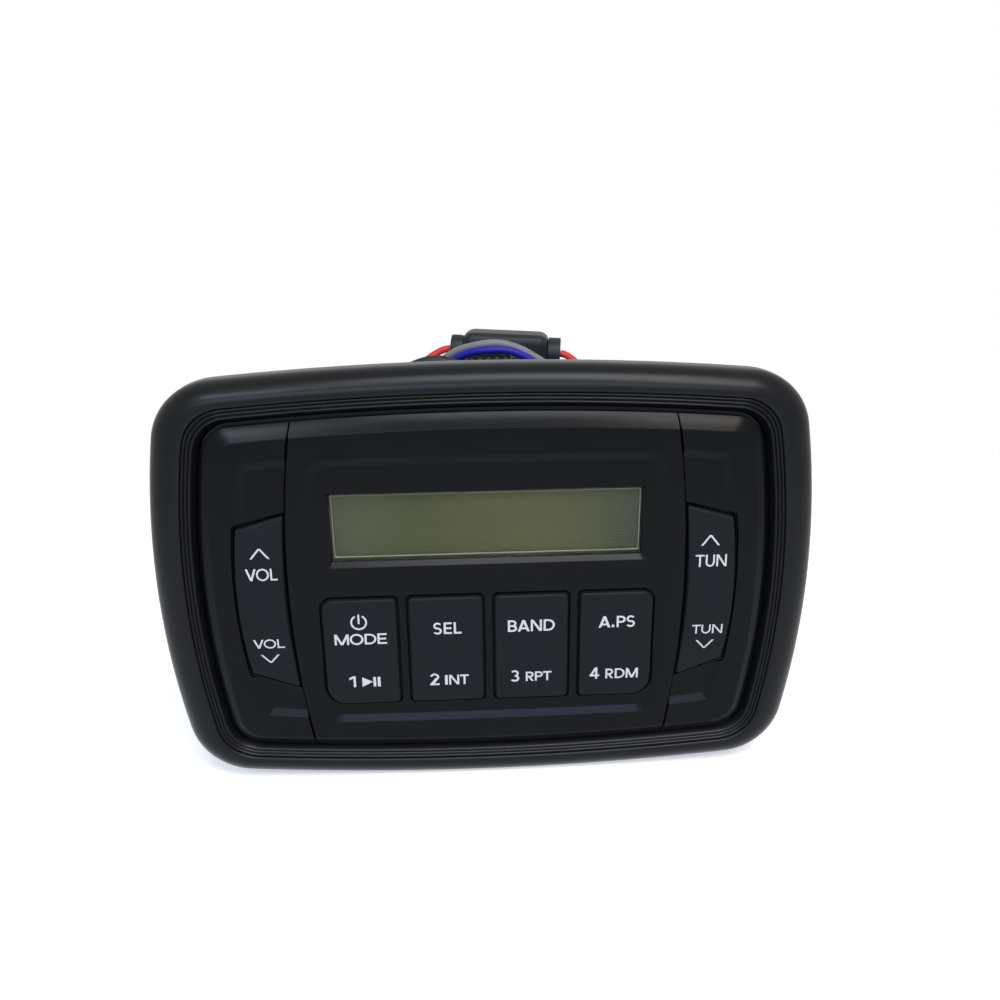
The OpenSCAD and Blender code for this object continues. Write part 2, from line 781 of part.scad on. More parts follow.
module front_case() color("#202224") difference() {
    union() {
        slab(-flange_t, 0)
            polygon(bezel_outline(flange_share));
        slab(-skirt_at, -flange_t + 0.5)
            difference() {
                polygon(front_outline(0));
                polygon(front_outline(case_wall_t));
            }
        for (p = board_screws)
            bar_y(p[0], p[1], -board_back, -flange_t + 0.5, 2.4);
        for (p = case_screws_at)
            bar_y(p[0], p[1], -case_post_end, -flange_t + 0.5, case_post_r);
        for (side = [-1, 1], x = [pin_x0, pin_x1 - ear_t])
            ear(side, x);
    }
    slab(-flange_t - past, past)
        square([opening_w, opening_h], center = true);
    slab(-gasket_t, past)
        gasket_ring();
    for (p = mount_holes)
        bar_y(p[0], p[1], -flange_t - past, past, mount_hole_r);
    for (p = case_screws_at)
        bar_y(p[0], p[1], -case_post_end + 0.6, past, case_screw_r);
    for (p = all_bosses) {
        bar_y(p[0], p[1], -flange_t - past, past, pilot_r + 0.35);
        bar_y(p[0], p[1], -head_pocket_t, past, head_pocket_r);
    }
    for (p = board_screws)
        bar_y(p[0], p[1], -flange_t - 2 * past, 0.0 + past, board_screw_r);
    tabs(tab_play);
}

module panel_gasket() color("#3a3a3a")
    slab(-gasket_t, 0)
        gasket_ring();

// Screws from behind that hold the front plates to the case
fascia_head_t = 1.4;
fascia_screw_l = 5.5;
module fascia_screws() color("#9a9ea2")
    for (p = all_bosses)
        screw(p[0], p[1], -head_pocket_t, -1, head_pocket_r - 0.3, fascia_head_t, pilot_r, fascia_screw_l);

// Long screws from the rear that hold the housing to the case
case_screw_bite = 5.4;
case_head_r = 2.6;
case_head_t = 1.8;
module case_screws() color("#9a9ea2")
    for (p = case_screws_at)
        screw(p[0], p[1], housing_d, -1, case_head_r, case_head_t, case_screw_r,
            housing_d + case_screw_bite);

// Rounded rectangle with true arcs, drawn in X and Z
module round_box_shape(w, h, r) {
    square([w - 2 * r, h], center = true);
    square([w, h - 2 * r], center = true);
    for (sx = [-1, 1], sz = [-1, 1])
        translate([sx * (w / 2 - r), sz * (h / 2 - r)])
            circle(r, $fn = 64);
}

module housing_rim() {
    difference() {
        round_box_shape(housing_w, housing_h, housing_r);
        round_box_shape(housing_w - 2 * housing_wall, housing_h - 2 * housing_wall,
            housing_r - housing_wall);
    }
}

module housing_seal() color("#303030") slab(0, seal_t) housing_rim();

housing_boss_r = 3.4;
floor_z = -inner_z;
board_z = floor_z + board_rise;
board_top = board_z + board_t;
main_board_y = 6;
main_board_w = 2 * (inner_x - board_side_gap);
main_board_end = housing_d - housing_wall - board_rear_gap;
main_board_d = main_board_end - main_board_y;
board_left = -main_board_w / 2;
board_right = main_board_w / 2;
post_r = 3;
post_inset = 5;
post_x = board_right - post_inset;
posts = [for (sx = [-1, 1], y = [main_board_y + post_inset, main_board_end - post_inset]) [sx * post_x, y]];
// Hole in the top wall for the hood's spigot
spigot_x = 12.2;
spigot_y = 29;
spigot_r = 4;
spigot_play = 0.1;
// Window in the rear wall for the heat sink's pad
pad_w = 24;
pad_h = 18;
pad_rise = 12;
pad_z = board_top + pad_rise;
sink_screws = [for (sx = [-1, 1], sz = [-1, 1]) [sx * (sink_w / 2 - 4), sz * (sink_h / 2 - 4)]];
sink_boss_l = 3;
sink_screw_l = 7;
small_screw_r = 1.2;

module rear_housing() color("#222628") difference() {
    union() {
        slab(seal_t, housing_d - housing_wall + past)
            housing_rim();
        slab(housing_d - housing_wall, housing_d)
            round_box_shape(housing_w, housing_h, housing_r);
        intersection() {
            slab(seal_t, housing_d - past)
                round_box_shape(housing_w - 1, housing_h - 1, housing_r);
            for (p = case_screws_at)
                bar_y(p[0], p[1], seal_t, housing_d - past, housing_boss_r);
        }
        for (p = posts)
            translate([p[0], p[1], floor_z - 1])
                cylinder(r = post_r, h = board_rise + 1, $fn = 48);
        for (p = sink_screws)
            bar_y(p[0], p[1], housing_d - housing_wall - sink_boss_l, housing_d - 1, 3);
    }
    for (p = case_screws_at)
        bar_y(p[0], p[1], 0, housing_d + past, case_screw_r + 0.2);
    for (p = posts)
        translate([p[0], p[1], board_z - 8])
            cylinder(r = small_screw_r, h = 9, $fn = 48);
    for (p = sink_screws)
        bar_y(p[0], p[1], housing_d + sink_base_t - sink_screw_l, housing_d + past, small_screw_r);
    translate([spigot_x, spigot_y, inner_z - past])
        cylinder(r = spigot_r + spigot_play, h = housing_wall + 2 * past, $fn = 64);
    slab(housing_d - housing_wall - past, housing_d + past)
        translate([0, pad_z])
            square([pad_w + 0.6, pad_h + 0.6], center = true);
}

// Heat sink: a base with upright fins and a pad that reaches in to the amplifier
pad_reach = 5;
fin_span = sink_w - 20;
module heat_sink() color("#8a8e92") difference() {
    union() {
        slab(housing_d, housing_d + sink_base_t)
            square([sink_w, sink_h], center = true);
        for (i = [0:fin_count - 1])
            translate([-fin_span / 2 + fin_span * i / (fin_count - 1) - fin_t / 2,
                housing_d + sink_base_t - 0.2, -sink_h / 2])
                cube([fin_t, fin_h + 0.2, sink_h]);
        slab(housing_d - pad_reach, housing_d + 0.2)
            translate([0, pad_z])
                square([pad_w, pad_h], center = true);
    }
    for (p = sink_screws)
        bar_y(p[0], p[1], housing_d - past, housing_d + sink_base_t + past, small_screw_r + 0.3);
}

small_head_r = 2.4;
small_head_t = 1.5;
module heat_sink_screws() color("#9a9ea2")
    for (p = sink_screws)
        screw(p[0], p[1], housing_d + sink_base_t, -1, small_head_r, small_head_t, small_screw_r,
            sink_screw_l);

pad_t = 0.5;
module thermal_pad() color("#c8b8d8")
    slab(housing_d - pad_reach - pad_t, housing_d - pad_reach)
        translate([0, pad_z])
            square([pad_w - 2, pad_h - 2], center = true);

chip_t = 4.4;
chip_w = 20;
module amplifier_chip() color("#1a1a1a") {
    back = housing_d - pad_reach - pad_t;
    translate([-chip_w / 2, back - chip_t, pad_z - pad_h / 2 + 1])
        cube([chip_w, chip_t, pad_h - 2]);
    for (i = [0:8])
        translate([-chip_w / 2 + 1.6 + i * 2, back - chip_t / 2 - 0.3, board_top])
            cube([0.8, 0.6, pad_z - pad_h / 2 + 1 - board_top]);
}

module main_board() color("#2c5a3c") difference() {
    translate([-main_board_w / 2, main_board_y, board_z])
        cube([main_board_w, main_board_d, board_t]);
    for (p = posts)
        translate([p[0], p[1], board_z - past])
            cylinder(r = small_screw_r + 0.2, h = board_t + 2 * past, $fn = 48);
}

board_bite = 6;
module main_board_screws() color("#9a9ea2")
    for (p = posts) {
        translate([p[0], p[1], board_top])
            cylinder(r = small_head_r, h = small_head_t, $fn = 48);
        translate([p[0], p[1], board_z - board_bite])
            cylinder(r = small_screw_r, h = board_t + board_bite, $fn = 48);
    }

// Header that joins the display board to the main board
header_w = 26;
header_h = 6;
header_lap = 4;
module link_header() color("#303234")
    translate([-header_w / 2, -board_back, board_top])
        cube([header_w, main_board_y + header_lap + board_back, header_h]);

// Header that the leads are soldered to, under the hood's spigot
lead_header_w = 20;
lead_header_d = 9;
lead_header_h = 9;
right_parts_inset = 10;
lead_header_y = main_board_end - 20;
module lead_header() color("#d8d4c8")
    translate([board_right - right_parts_inset - lead_header_w, lead_header_y, board_top])
        cube([lead_header_w, lead_header_d, lead_header_h]);

cap_radius = 6.2;
cap_h = 18;
cap_edge = 14;
cap_pitch = 14;
cap_rear = 12;
module filter_capacitors() color("#2a3050")
    for (i = [0, 1])
        translate([board_left + cap_edge + i * cap_pitch, main_board_end - cap_rear, board_top])
            cylinder(r = cap_radius, h = cap_h, $fn = 48);

choke_w = 15;
choke_d = 14;
choke_h = 11;
choke_gap = 4;
module power_choke() color("#3c3c3c")
    translate([board_right - right_parts_inset - choke_w, lead_header_y - choke_gap - choke_d, board_top])
        cube([choke_w, choke_d, choke_h]);

can_w = 26;
can_d = 14;
can_h = 7;
can_inset = 8;
can_rear = 20;
module tuner_can() color("#b0b4b8")
    translate([board_left + can_inset, main_board_end - can_rear - can_d, board_top])
        cube([can_w, can_d, can_h]);

radio_w = 16;
radio_d = 14;
radio_h = 2.4;
radio_front = 16;
module wireless_module() color("#305a6a")
    translate([-radio_w / 2, main_board_y + radio_front, board_top])
        cube([radio_w, radio_d, radio_h]);

// Cable hood on top of the housing: a wedge with a spigot through the wall
hood_x0 = 8;
hood_x1 = 16.5;
hood_y0 = 19;
hood_y1 = 39;
hood_high = 9;
hood_low = 2.6;
module cable_hood() color("#1a1c1e") {
    slab(hood_y0, hood_y1)
        polygon([[hood_x0, housing_top], [hood_x1, housing_top], [hood_x1, housing_top + hood_low],
            [hood_x0, housing_top + hood_high]]);
    translate([spigot_x, spigot_y, inner_z - 4])
        cylinder(r = spigot_r, h = housing_wall + 4.5, $fn = 64);
}

nut_r = 7;
nut_t = 3;
module hood_nut() color("#2a2c2e")
    translate([spigot_x, spigot_y, inner_z - nut_t])
        difference() {
            cylinder(r = nut_r, h = nut_t - touch_gap / 2, $fn = 6);
            translate([0, 0, -past])
                cylinder(r = spigot_r + spigot_play / 2, h = nut_t + 2 * past, $fn = 64);
        }

// Ribbed boot that the black cable leaves by
boot_root = [hood_x0, 25, 4.6];
boot_tip = [-4.5, 25, 6.6];
boot_l = norm(boot_tip - boot_root);
boot_tilt = atan2(boot_tip[2] - boot_root[2], boot_root[0] - boot_tip[0]);
boot_sink = 1;
rib_count = 5;
rib_groove = 0.7;
rib_share = 0.6;

function boot_r(s) = boot_root_r + (boot_tip_r - boot_root_r) * s;
function boot_section() = concat([[0, -boot_sink], [boot_root_r, -boot_sink]],
    [for (i = [0:rib_count - 1])
        let (s0 = i / rib_count, s1 = (i + rib_share) / rib_count, s2 = (i + 1) / rib_count)
        each [[boot_r(s0), s0 * boot_l], [boot_r(s0), s1 * boot_l],
            [boot_r(s0) - rib_groove, s1 * boot_l + 0.2], [boot_r(s2) - rib_groove, s2 * boot_l - 0.2]]],
    [[boot_tip_r, boot_l], [0, boot_l]]);

module cable_boot() color("#18191a")
    on_top()
        translate(boot_root)
            rotate([0, -90 + boot_tilt, 0])
                rotate_extrude($fn = 48)
                    polygon(boot_section());

// A lead: a round tube swept along its points, square to its ends
lead_sides = 8;
function way(p, i) =
    let (a = p[max(i - 1, 0)], b = p[min(i + 1, len(p) - 1)])
    (b - a) / norm(b - a);
function unit(v) = v / norm(v);

module lead(points, d) {
    n = len(points);
    rings = [for (i = [0:n - 1])
        let (t = way(points, i), side = unit(cross(t, [0, 0, 1])), up = cross(side, t))
        for (k = [0:lead_sides - 1])
            let (a = 360 * (k + 0.5) / lead_sides)
            points[i] + d / 2 * (cos(a) * side + sin(a) * up)];
    walls = [for (i = [0:n - 2], k = [0:lead_sides - 1])
        let (l = (k + 1) % lead_sides)
        [i * lead_sides + k, i * lead_sides + l, (i + 1) * lead_sides + l, (i + 1) * lead_sides + k]];
    first = [[for (k = [0:lead_sides - 1]) lead_sides - 1 - k]];
    last = [[for (k = [0:lead_sides - 1]) (n - 1) * lead_sides + k]];
    polyhedron(rings, concat(walls, first, last), convexity = 6);
}

// Height above the housing's top
module on_top() {
    translate([0, 0, housing_top])
        children();
}

// Routes of the leads, with heights above the housing's top
red_in_route = [[8, 36.4, 2], [6, 36.4, 2], [0.5, 36.4, 1.2], [-5.5, 36.5, 1.05], [-11, 37, 1.05],
    [-16, 39.4, 1.1], [-18.7, 43.2, 1.4], [-18, 47.2, 2.5], [-15, 49.9, 4.3], [-11.8, 50.8, 6.2],
    [-9.4, 50.75, 7.2], [-7.5, 50.5, 7.4]];
red_out_route = [[23.5, 46.5, 6.1], [25.1, 46.3, 5.7], [26.9, 46, 4.5], [28.8, 45.7, 3],
    [31.2, 45.3, 1.7], [34.6, 44.9, 1.1], [40.5, 44.4, 1.05], [46, 43.2, 1.05], [50.4, 40, 1.05],
    [53, 35.2, 1.05], [53.8, 30, 1.5], [53.8, 25.5, 2.7], [53.8, 22.5, 2.7]];
blue_route = [[13.8, 19, 2], [13.8, 17, 2], [14.8, 13.4, 1.4], [18.6, 10.9, 1.05],
    [23.4, 11.4, 1.05], [27.2, 14.4, 1.05], [28.6, 19, 1.1], [26.8, 23, 1.5], [22.4, 25.2, 2.6],
    [17.6, 25.6, 5.2], [12.8, 25.6, 8.6], [7.5, 25.6, 10.8], [1.8, 25.8, 11],
    [-3.5, 27.2, 10], [-8, 29.2, 7.4], [-12.3, 30.9, 4], [-17, 31.8, 2],
    [-22, 31.8, 2], [-25, 31.8, 2.6], [-27, 31.8, 2.6]];
grey_route = [[11, 19, 2], [11, 17, 2], [11.6, 12.4, 1.4], [15.6, 8.6, 1.05], [21.4, 7.8, 1.05],
    [27, 9.6, 1.05], [30.9, 13.8, 1.05], [31.8, 19, 1.1], [29.8, 23.8, 1.5], [25.4, 27, 2.6],
    [20.5, 27.8, 4.9], [15.5, 27.8, 8], [10.5, 27.7, 10.9], [5, 27.8, 12.4],
    [-0.5, 28.2, 12], [-6, 30.2, 10.2], [-10.8, 32, 7], [-15, 33.6, 3.6],
    [-19.8, 34.2, 2], [-25, 34.2, 2.6], [-27, 34.2, 2.6]];
black_route = [[-4.5, 25, 6.6], [-6.6, 25, 7.5], [-9, 25, 8.25], [-12, 25, 8.55], [-15.5, 25, 7.9],
    [-19.5, 25, 6.3], [-24, 25, 4.2], [-29.5, 25, 2.2], [-36, 25, 1.6], [-43, 24.6, 1.6], [-49, 21.6, 1.6], [-51, 16, 1.6],
    [-47.4, 11.4, 1.6], [-41, 10, 1.6], [-33.5, 10, 2.4], [-26, 10, 4.1], [-22, 10, 4.1]];

module red_lead_in() color("#d8433c") on_top() lead(red_in_route, lead_d);
module red_lead_out() color("#d8433c") on_top() lead(red_out_route, lead_d);
module blue_lead() color("#2a2a9a") on_top() lead(blue_route, lead_d);
module grey_lead() color("#808080") on_top() lead(grey_route, lead_d);
module black_cable() color("#18191a") on_top() lead(black_route, cable_d);

// In-line fuse holder between the two red leads
fuse_left = [-7.5, 50.5, 7.4];
fuse_right = [23.5, 46.5, 6.1];
fuse_l = norm(fuse_right - fuse_left);
fuse_turn = atan2(fuse_right[1] - fuse_left[1], fuse_right[0] - fuse_left[0]);
fuse_tilt = asin((fuse_left[2] - fuse_right[2]) / fuse_l);
collar_l = 3.6;
collar_r = 4.1;
cap_r = 4.4;
shoulder = 1.6;
fuse_bore_r = 2.8;
fuse_glass_r = 2.4;
fuse_cap_r = 2.6;
fuse_start = 5.5;
fuse_len = 20;
fuse_cap_len = 2.5;

module on_fuse_axis() {
    on_top()
        translate(fuse_left)
            rotate([0, fuse_tilt, fuse_turn])
                children();
}

module rod_x(x0, x1, r) {
    translate([x0, 0, 0])
        rotate([0, 90, 0])
            cylinder(r = r, h = x1 - x0, $fn = 48);
}

body_end = fuse_l - collar_l;
// A chamfered corner of the holder's body, moved along it by i and towards the middle by j
function fuse_corner(c, i, j) = [c[0] + c[2] * i * shoulder, c[1] * (fuse_body_h / 2 - j * shoulder)];

module fuse_holder() color("#1c1e20") on_fuse_axis() difference() {
    union() {
        rod_x(0, collar_l + 0.5, collar_r);
        intersection() {
            slab(-fuse_body_d / 2, fuse_body_d / 2)
                polygon([for (c = [[collar_l, -1, 1], [body_end, -1, -1], [body_end, 1, -1], [collar_l, 1, 1]])
                    each c[1] * c[2] < 0
                        ? [fuse_corner(c, 0, 1), fuse_corner(c, 1, 0)]
                        : [fuse_corner(c, 1, 0), fuse_corner(c, 0, 1)]]);
            rotate([90, 0, 90])
                linear_extrude(fuse_l)
                    round_box_shape(fuse_body_d, fuse_body_h, 1.6);
        }
    }
    rod_x(fuse_start - 0.1, fuse_l - collar_l + past, fuse_bore_r);
}

module fuse_holder_cap() color("#222426") on_fuse_axis() {
    rod_x(fuse_l - collar_l, fuse_l, cap_r);
    rod_x(fuse_start + fuse_len + 0.1, fuse_l - collar_l + 0.2, fuse_bore_r - 0.1);
}

module fuse_tube() color("#d0d8d8", 0.5) on_fuse_axis()
    rod_x(fuse_start + fuse_cap_len, fuse_start + fuse_len - fuse_cap_len, fuse_glass_r);

module fuse_caps() color("#c0c4c8") on_fuse_axis() {
    rod_x(fuse_start, fuse_start + fuse_cap_len, fuse_cap_r);
    rod_x(fuse_start + fuse_len - fuse_cap_len, fuse_start + fuse_len, fuse_cap_r);
}

// Two-way plug on the blue and grey leads, lying on the housing
plug_l = 14;
plug_w = 7;
plug_h = 5;
latch_l = 7;
latch_w = 3;
latch_t = 1;
plug_end = [-27, 33];
module accessory_plug() color("#d8d8d4")
    on_top()
        translate([plug_end[0] - plug_l, plug_end[1] - plug_w / 2, touch_gap]) {
            cube([plug_l, plug_w, plug_h]);
            translate([2, (plug_w - latch_w) / 2, plug_h])
                cube([latch_l, latch_w, latch_t]);
        }

// Insulated bullet terminal on the red lead
terminal_r = 2.6;
terminal_l = 13.5;
module terminal_axis() {
    on_top()
        translate([53.8, 22.5, 2.7])
            rotate([90, 0, 0])
                children();
}

module power_terminal() color("#c23a34") terminal_axis() difference() {
    cylinder(r = terminal_r, h = terminal_l, $fn = 48);
    translate([0, 0, terminal_l - 6])
        cylinder(r = 1.9, h = 6 + past, $fn = 48);
}

// Aerial plug on the black cable: a moulded grip and a metal pin
grip_l = 16;
grip_r = 4;
aerial_pin_l = 12;
aerial_pin_r = 1.6;
module aerial_axis() {
    on_top()
        translate([-22, 10, 4.1])
            rotate([0, 90, 0])
                children();
}

module antenna_plug() color("#18191a") aerial_axis() cylinder(r = grip_r, h = grip_l, $fn = 48);

module antenna_pin() color("#c0c4c8") aerial_axis() translate([0, 0, grip_l]) {
    cylinder(r = grip_r - 1, h = 2, $fn = 48);
    cylinder(r = aerial_pin_r, h = aerial_pin_l - 1, $fn = 48);
    translate([0, 0, aerial_pin_l - 1])
        cylinder(r1 = aerial_pin_r, r2 = 0.9, h = 1, $fn = 48);
}

trim_bezel();
fascia_centre();
left_wing();
right_wing();
display_window();
lcd_glass();
backlight();
mode_key();
select_key();
band_key();
scan_key();
volume_rocker();
tuning_rocker();
volume_pin();
tuning_pin();
key_mat();
key_switches();
display_board();
display_board_screws();
front_case();
panel_gasket();
fascia_screws();
case_screws();
housing_seal();
rear_housing();
heat_sink();
heat_sink_screws();
thermal_pad();
amplifier_chip();
main_board();
main_board_screws();
link_header();
lead_header();
filter_capacitors();
power_choke();
tuner_can();
wireless_module();
cable_hood();
hood_nut();
cable_boot();
red_lead_in();
red_lead_out();
blue_lead();
grey_lead();
black_cable();
fuse_holder();
fuse_holder_cap();
fuse_tube();
fuse_caps();
accessory_plug();
power_terminal();
antenna_plug();
antenna_pin();
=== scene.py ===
# Spa stereo: a bowed black panel receiver with a rear housing and short leads.
# Metres, in the frame of the CAD model. Sizes in the dictionaries are millimetres.
import bpy
import bmesh
import math
from mathutils import Matrix, Vector
from mathutils.geometry import delaunay_2d_cdt


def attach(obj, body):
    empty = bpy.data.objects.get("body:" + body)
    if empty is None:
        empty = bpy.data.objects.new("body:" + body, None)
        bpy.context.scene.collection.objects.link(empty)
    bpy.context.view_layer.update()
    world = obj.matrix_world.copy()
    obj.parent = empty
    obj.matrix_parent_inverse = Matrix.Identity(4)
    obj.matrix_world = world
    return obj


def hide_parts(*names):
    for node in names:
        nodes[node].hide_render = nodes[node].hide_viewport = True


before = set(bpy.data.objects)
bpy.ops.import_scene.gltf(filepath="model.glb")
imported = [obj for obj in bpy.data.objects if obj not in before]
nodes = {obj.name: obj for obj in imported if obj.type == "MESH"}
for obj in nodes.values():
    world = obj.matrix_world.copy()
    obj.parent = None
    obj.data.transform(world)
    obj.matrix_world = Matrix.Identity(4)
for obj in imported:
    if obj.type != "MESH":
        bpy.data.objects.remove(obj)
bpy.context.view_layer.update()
scene = bpy.context.scene
scene.view_settings.view_transform = "Standard"
mm = 0.001
fourCorners = [(sx, sz) for sx in (-1, 1) for sz in (-1, 1)]


# sRGB hex to the linear colour that a shader takes
def linear(hexColour):
    channels = [int(hexColour[i:i + 2], 16) / 255 for i in (1, 3, 5)]
    return tuple(c / 12.92 if c <= 0.04045 else ((c + 0.055) / 1.055) ** 2.4 for c in channels) + (1,)


# one node with its settings and its links
def addNode(tree, kind, settings=None, links=None):
    node = tree.nodes.new(kind)
    for key, value in (settings or {}).items():
        if isinstance(key, str) and hasattr(node, key):
            setattr(node, key, value)
        else:
            node.inputs[key].default_value = value
    for key, source in (links or {}).items():
        tree.links.new(source, node.inputs[key])
    return node


# camera at the photograph's angle
photoCamera = {"lens": 32.4, "place": (-6.155, -209.886, 91.403),
               "right": (0.998689, -0.050102, -0.010469), "up": (0.026342, 0.327745, 0.944399),
               "back": (-0.043885, -0.943437, 0.328635)}
cameraData = bpy.data.cameras.new("photoCamera")
cameraData.lens = photoCamera["lens"]
cameraData.sensor_width = 36
cameraData.clip_start = 0.01
camera = bpy.data.objects.new("photoCamera", cameraData)
axes = Matrix([photoCamera["right"], photoCamera["up"], photoCamera["back"]]).transposed()
camera.matrix_world = Matrix.Translation(Vector(photoCamera["place"]) * mm) @ axes.to_4x4()
scene.collection.objects.link(camera)
scene.camera = camera
print("camera set")


# materials: each starts from the real stuff
def startMaterial(name):
    material = bpy.data.materials.new(name)
    material.use_nodes = True
    tree = material.node_tree
    tree.nodes.clear()
    shader = addNode(tree, "ShaderNodeBsdfPrincipled")
    addNode(tree, "ShaderNodeOutputMaterial", links={"Surface": shader.outputs[0]})
    place = addNode(tree, "ShaderNodeTexCoord")
    return material, tree, shader, place


# moulded polymer: a tool's grain as bump, faint mottling in colour and gloss, softened edges
def mouldedFinish(name, look):
    material, tree, shader, place = startMaterial(name)
    mottle = addNode(tree, "ShaderNodeTexNoise", {"Scale": 1 / (look["mottle"] * mm), "Detail": 3.0},
                     {"Vector": place.outputs["Object"]})
    tint = addNode(tree, "ShaderNodeMix",
                   {"data_type": "RGBA", 6: linear(look["colour"]), 7: linear(look["shade"])},
                   {0: mottle.outputs["Fac"]})
    gloss = addNode(tree, "ShaderNodeMapRange", {"To Min": look["roughness"] - look["spread"],
                    "To Max": look["roughness"] + look["spread"]}, {"Value": mottle.outputs["Fac"]})
    grain = addNode(tree, "ShaderNodeTexNoise", {"Scale": 1 / (look["grain"] * mm), "Detail": 2.0},
                    {"Vector": place.outputs["Object"]})
    edge = addNode(tree, "ShaderNodeBevel", {"samples": 4, "Radius": look["edge"] * mm})
    bump = addNode(tree, "ShaderNodeBump", {"Strength": look["bite"], "Distance": look["depth"] * mm},
                   {"Height": grain.outputs["Fac"], "Normal": edge.outputs[0]})
    for key, value in look.get("set", {}).items():
        shader.inputs[key].default_value = value
    tree.links.new(tint.outputs[2], shader.inputs["Base Color"])
    tree.links.new(gloss.outputs[0], shader.inputs["Roughness"])
    tree.links.new(bump.outputs[0], shader.inputs["Normal"])
    return material


# polymer looks: grain, mottle, depth and edge are sizes in mm; a tool's grain of 0.1 mm is too fine to
# show, so it is drawn at 0.3 mm
blackPolymer = {"mottle": 9, "spread": 0.03, "grain": 0.3, "bite": 0.25, "depth": 0.03, "edge": 0.18}
polymerLooks = {
    # soft-touch painted ABS: a dry, broad sheen with no sharp glints
    "softTouchAbs": dict(blackPolymer, colour="#08090b", shade="#0a0b0c", roughness=0.31,
                         set={"IOR": 1.5, "Specular IOR Level": 0.14}),
    # spark-eroded ABS: satin black that greys where it faces the lamp
    "satinAbs": dict(blackPolymer, colour="#030406", shade="#050607", roughness=0.26,
                     set={"IOR": 1.53, "Specular IOR Level": 0.085}),
    # silicone-coated key caps: a touch lighter and duller than the plate around them
    "keySilicone": dict(blackPolymer, colour="#101315", shade="#121517", roughness=0.45,
                        set={"IOR": 1.43, "Specular IOR Level": 0.09}),
    # glass-filled nylon of the case and housing: dry, slightly streaky black
    "filledNylon": dict(blackPolymer, colour="#131516", shade="#181a1b", roughness=0.5, mottle=5,
                        set={"IOR": 1.53, "Specular IOR Level": 0.12}),
    # nylon of the fuse holder: dark grey, satin
    "holderNylon": dict(blackPolymer, colour="#191c1f", shade="#1e2124", roughness=0.42,
                        set={"IOR": 1.53, "Specular IOR Level": 0.12}),
    # flexible PVC boot: dark and a little oily
    "bootPvc": dict(blackPolymer, colour="#1b1d1f", shade="#222426", roughness=0.45, grain=0.5,
                    set={"IOR": 1.53, "Specular IOR Level": 0.15}),
    # EPDM gasket and seal: matt grey-black rubber
    "epdmRubber": dict(blackPolymer, colour="#26282a", shade="#2e3031", roughness=0.75, grain=0.4,
                       set={"IOR": 1.5, "Specular IOR Level": 0.25}),
    # silicone mat and thermal pad
    "greySilicone": dict(blackPolymer, colour="#6a6e70", shade="#74787a", roughness=0.6,
                         set={"IOR": 1.43, "Subsurface Weight": 0.05, "Subsurface Scale": 0.001}),
    # flame-polished edge of the acrylic lens: glossy, and its pale olive-grey colour is a painted highlight
    # for the bright line it shows
    "paintedHighlightEdge": dict(blackPolymer, colour="#6e6b5c", shade="#64625a", roughness=0.16, bite=0.05,
                         set={"IOR": 1.49, "Specular IOR Level": 0.5}),
    # natural nylon plug and headers: milky white
    "naturalNylon": dict(blackPolymer, colour="#d9d6cb", shade="#cfcbbe", roughness=0.42,
                         set={"IOR": 1.53, "Subsurface Weight": 0.1, "Subsurface Scale": 0.001}),
    # diffuser of the backlight: milky polycarbonate
    "milkyPolycarbonate": dict(blackPolymer, colour="#dedfd6", shade="#d4d6cc", roughness=0.35,
                               set={"IOR": 1.58}),
    # vinyl sleeve of the terminal
    "terminalVinyl": dict(blackPolymer, colour="#b8322c", shade="#a82c28", roughness=0.35,
                          set={"IOR": 1.53}),
    # shrink sleeve of the capacitors
    "capacitorSleeve": dict(blackPolymer, colour="#28304e", shade="#222a44", roughness=0.3,
                            set={"IOR": 1.55}),
    # FR-4 under green solder mask: glassy skin over a woven board
    "solderMask": dict(blackPolymer, colour="#1d5236", shade="#17452d", roughness=0.28, mottle=2.5,
                       set={"IOR": 1.55}),
    # epoxy of the chips
    "chipEpoxy": dict(blackPolymer, colour="#1c1c1d", shade="#232324", roughness=0.6, set={"IOR": 1.55}),
    # ferrite and choke winding body
    "darkFerrite": dict(blackPolymer, colour="#34363a", shade="#3e4044", roughness=0.55, set={"IOR": 1.6}),
}
finish = {name: mouldedFinish(name, look) for name, look in polymerLooks.items()}


# metals: brushed or cast skin, with the roughness broken up
metalSkin = {"edge": 0.15, "depth": 0.02}


def metalFinish(name, look):
    material, tree, shader, place = startMaterial(name)
    stretch = addNode(tree, "ShaderNodeMapping", {"Scale": look["stretch"]},
                      {"Vector": place.outputs["Object"]})
    streak = addNode(tree, "ShaderNodeTexNoise", {"Scale": 1 / (look["grain"] * mm), "Detail": 4.0},
                     {"Vector": stretch.outputs[0]})
    gloss = addNode(tree, "ShaderNodeMapRange", {"To Min": look["roughness"] - look["spread"],
                    "To Max": look["roughness"] + look["spread"]}, {"Value": streak.outputs["Fac"]})
    tint = addNode(tree, "ShaderNodeMix",
                   {"data_type": "RGBA", 6: linear(look["colour"]), 7: linear(look["shade"])},
                   {0: streak.outputs["Fac"]})
    edge = addNode(tree, "ShaderNodeBevel", {"samples": 4, "Radius": metalSkin["edge"] * mm})
    bump = addNode(tree, "ShaderNodeBump", {"Strength": look["bite"], "Distance": metalSkin["depth"] * mm},
                   {"Height": streak.outputs["Fac"], "Normal": edge.outputs[0]})
    shader.inputs["Metallic"].default_value = 1
    tree.links.new(tint.outputs[2], shader.inputs["Base Color"])
    tree.links.new(gloss.outputs[0], shader.inputs["Roughness"])
    tree.links.new(bump.outputs[0], shader.inputs["Normal"])
    return material


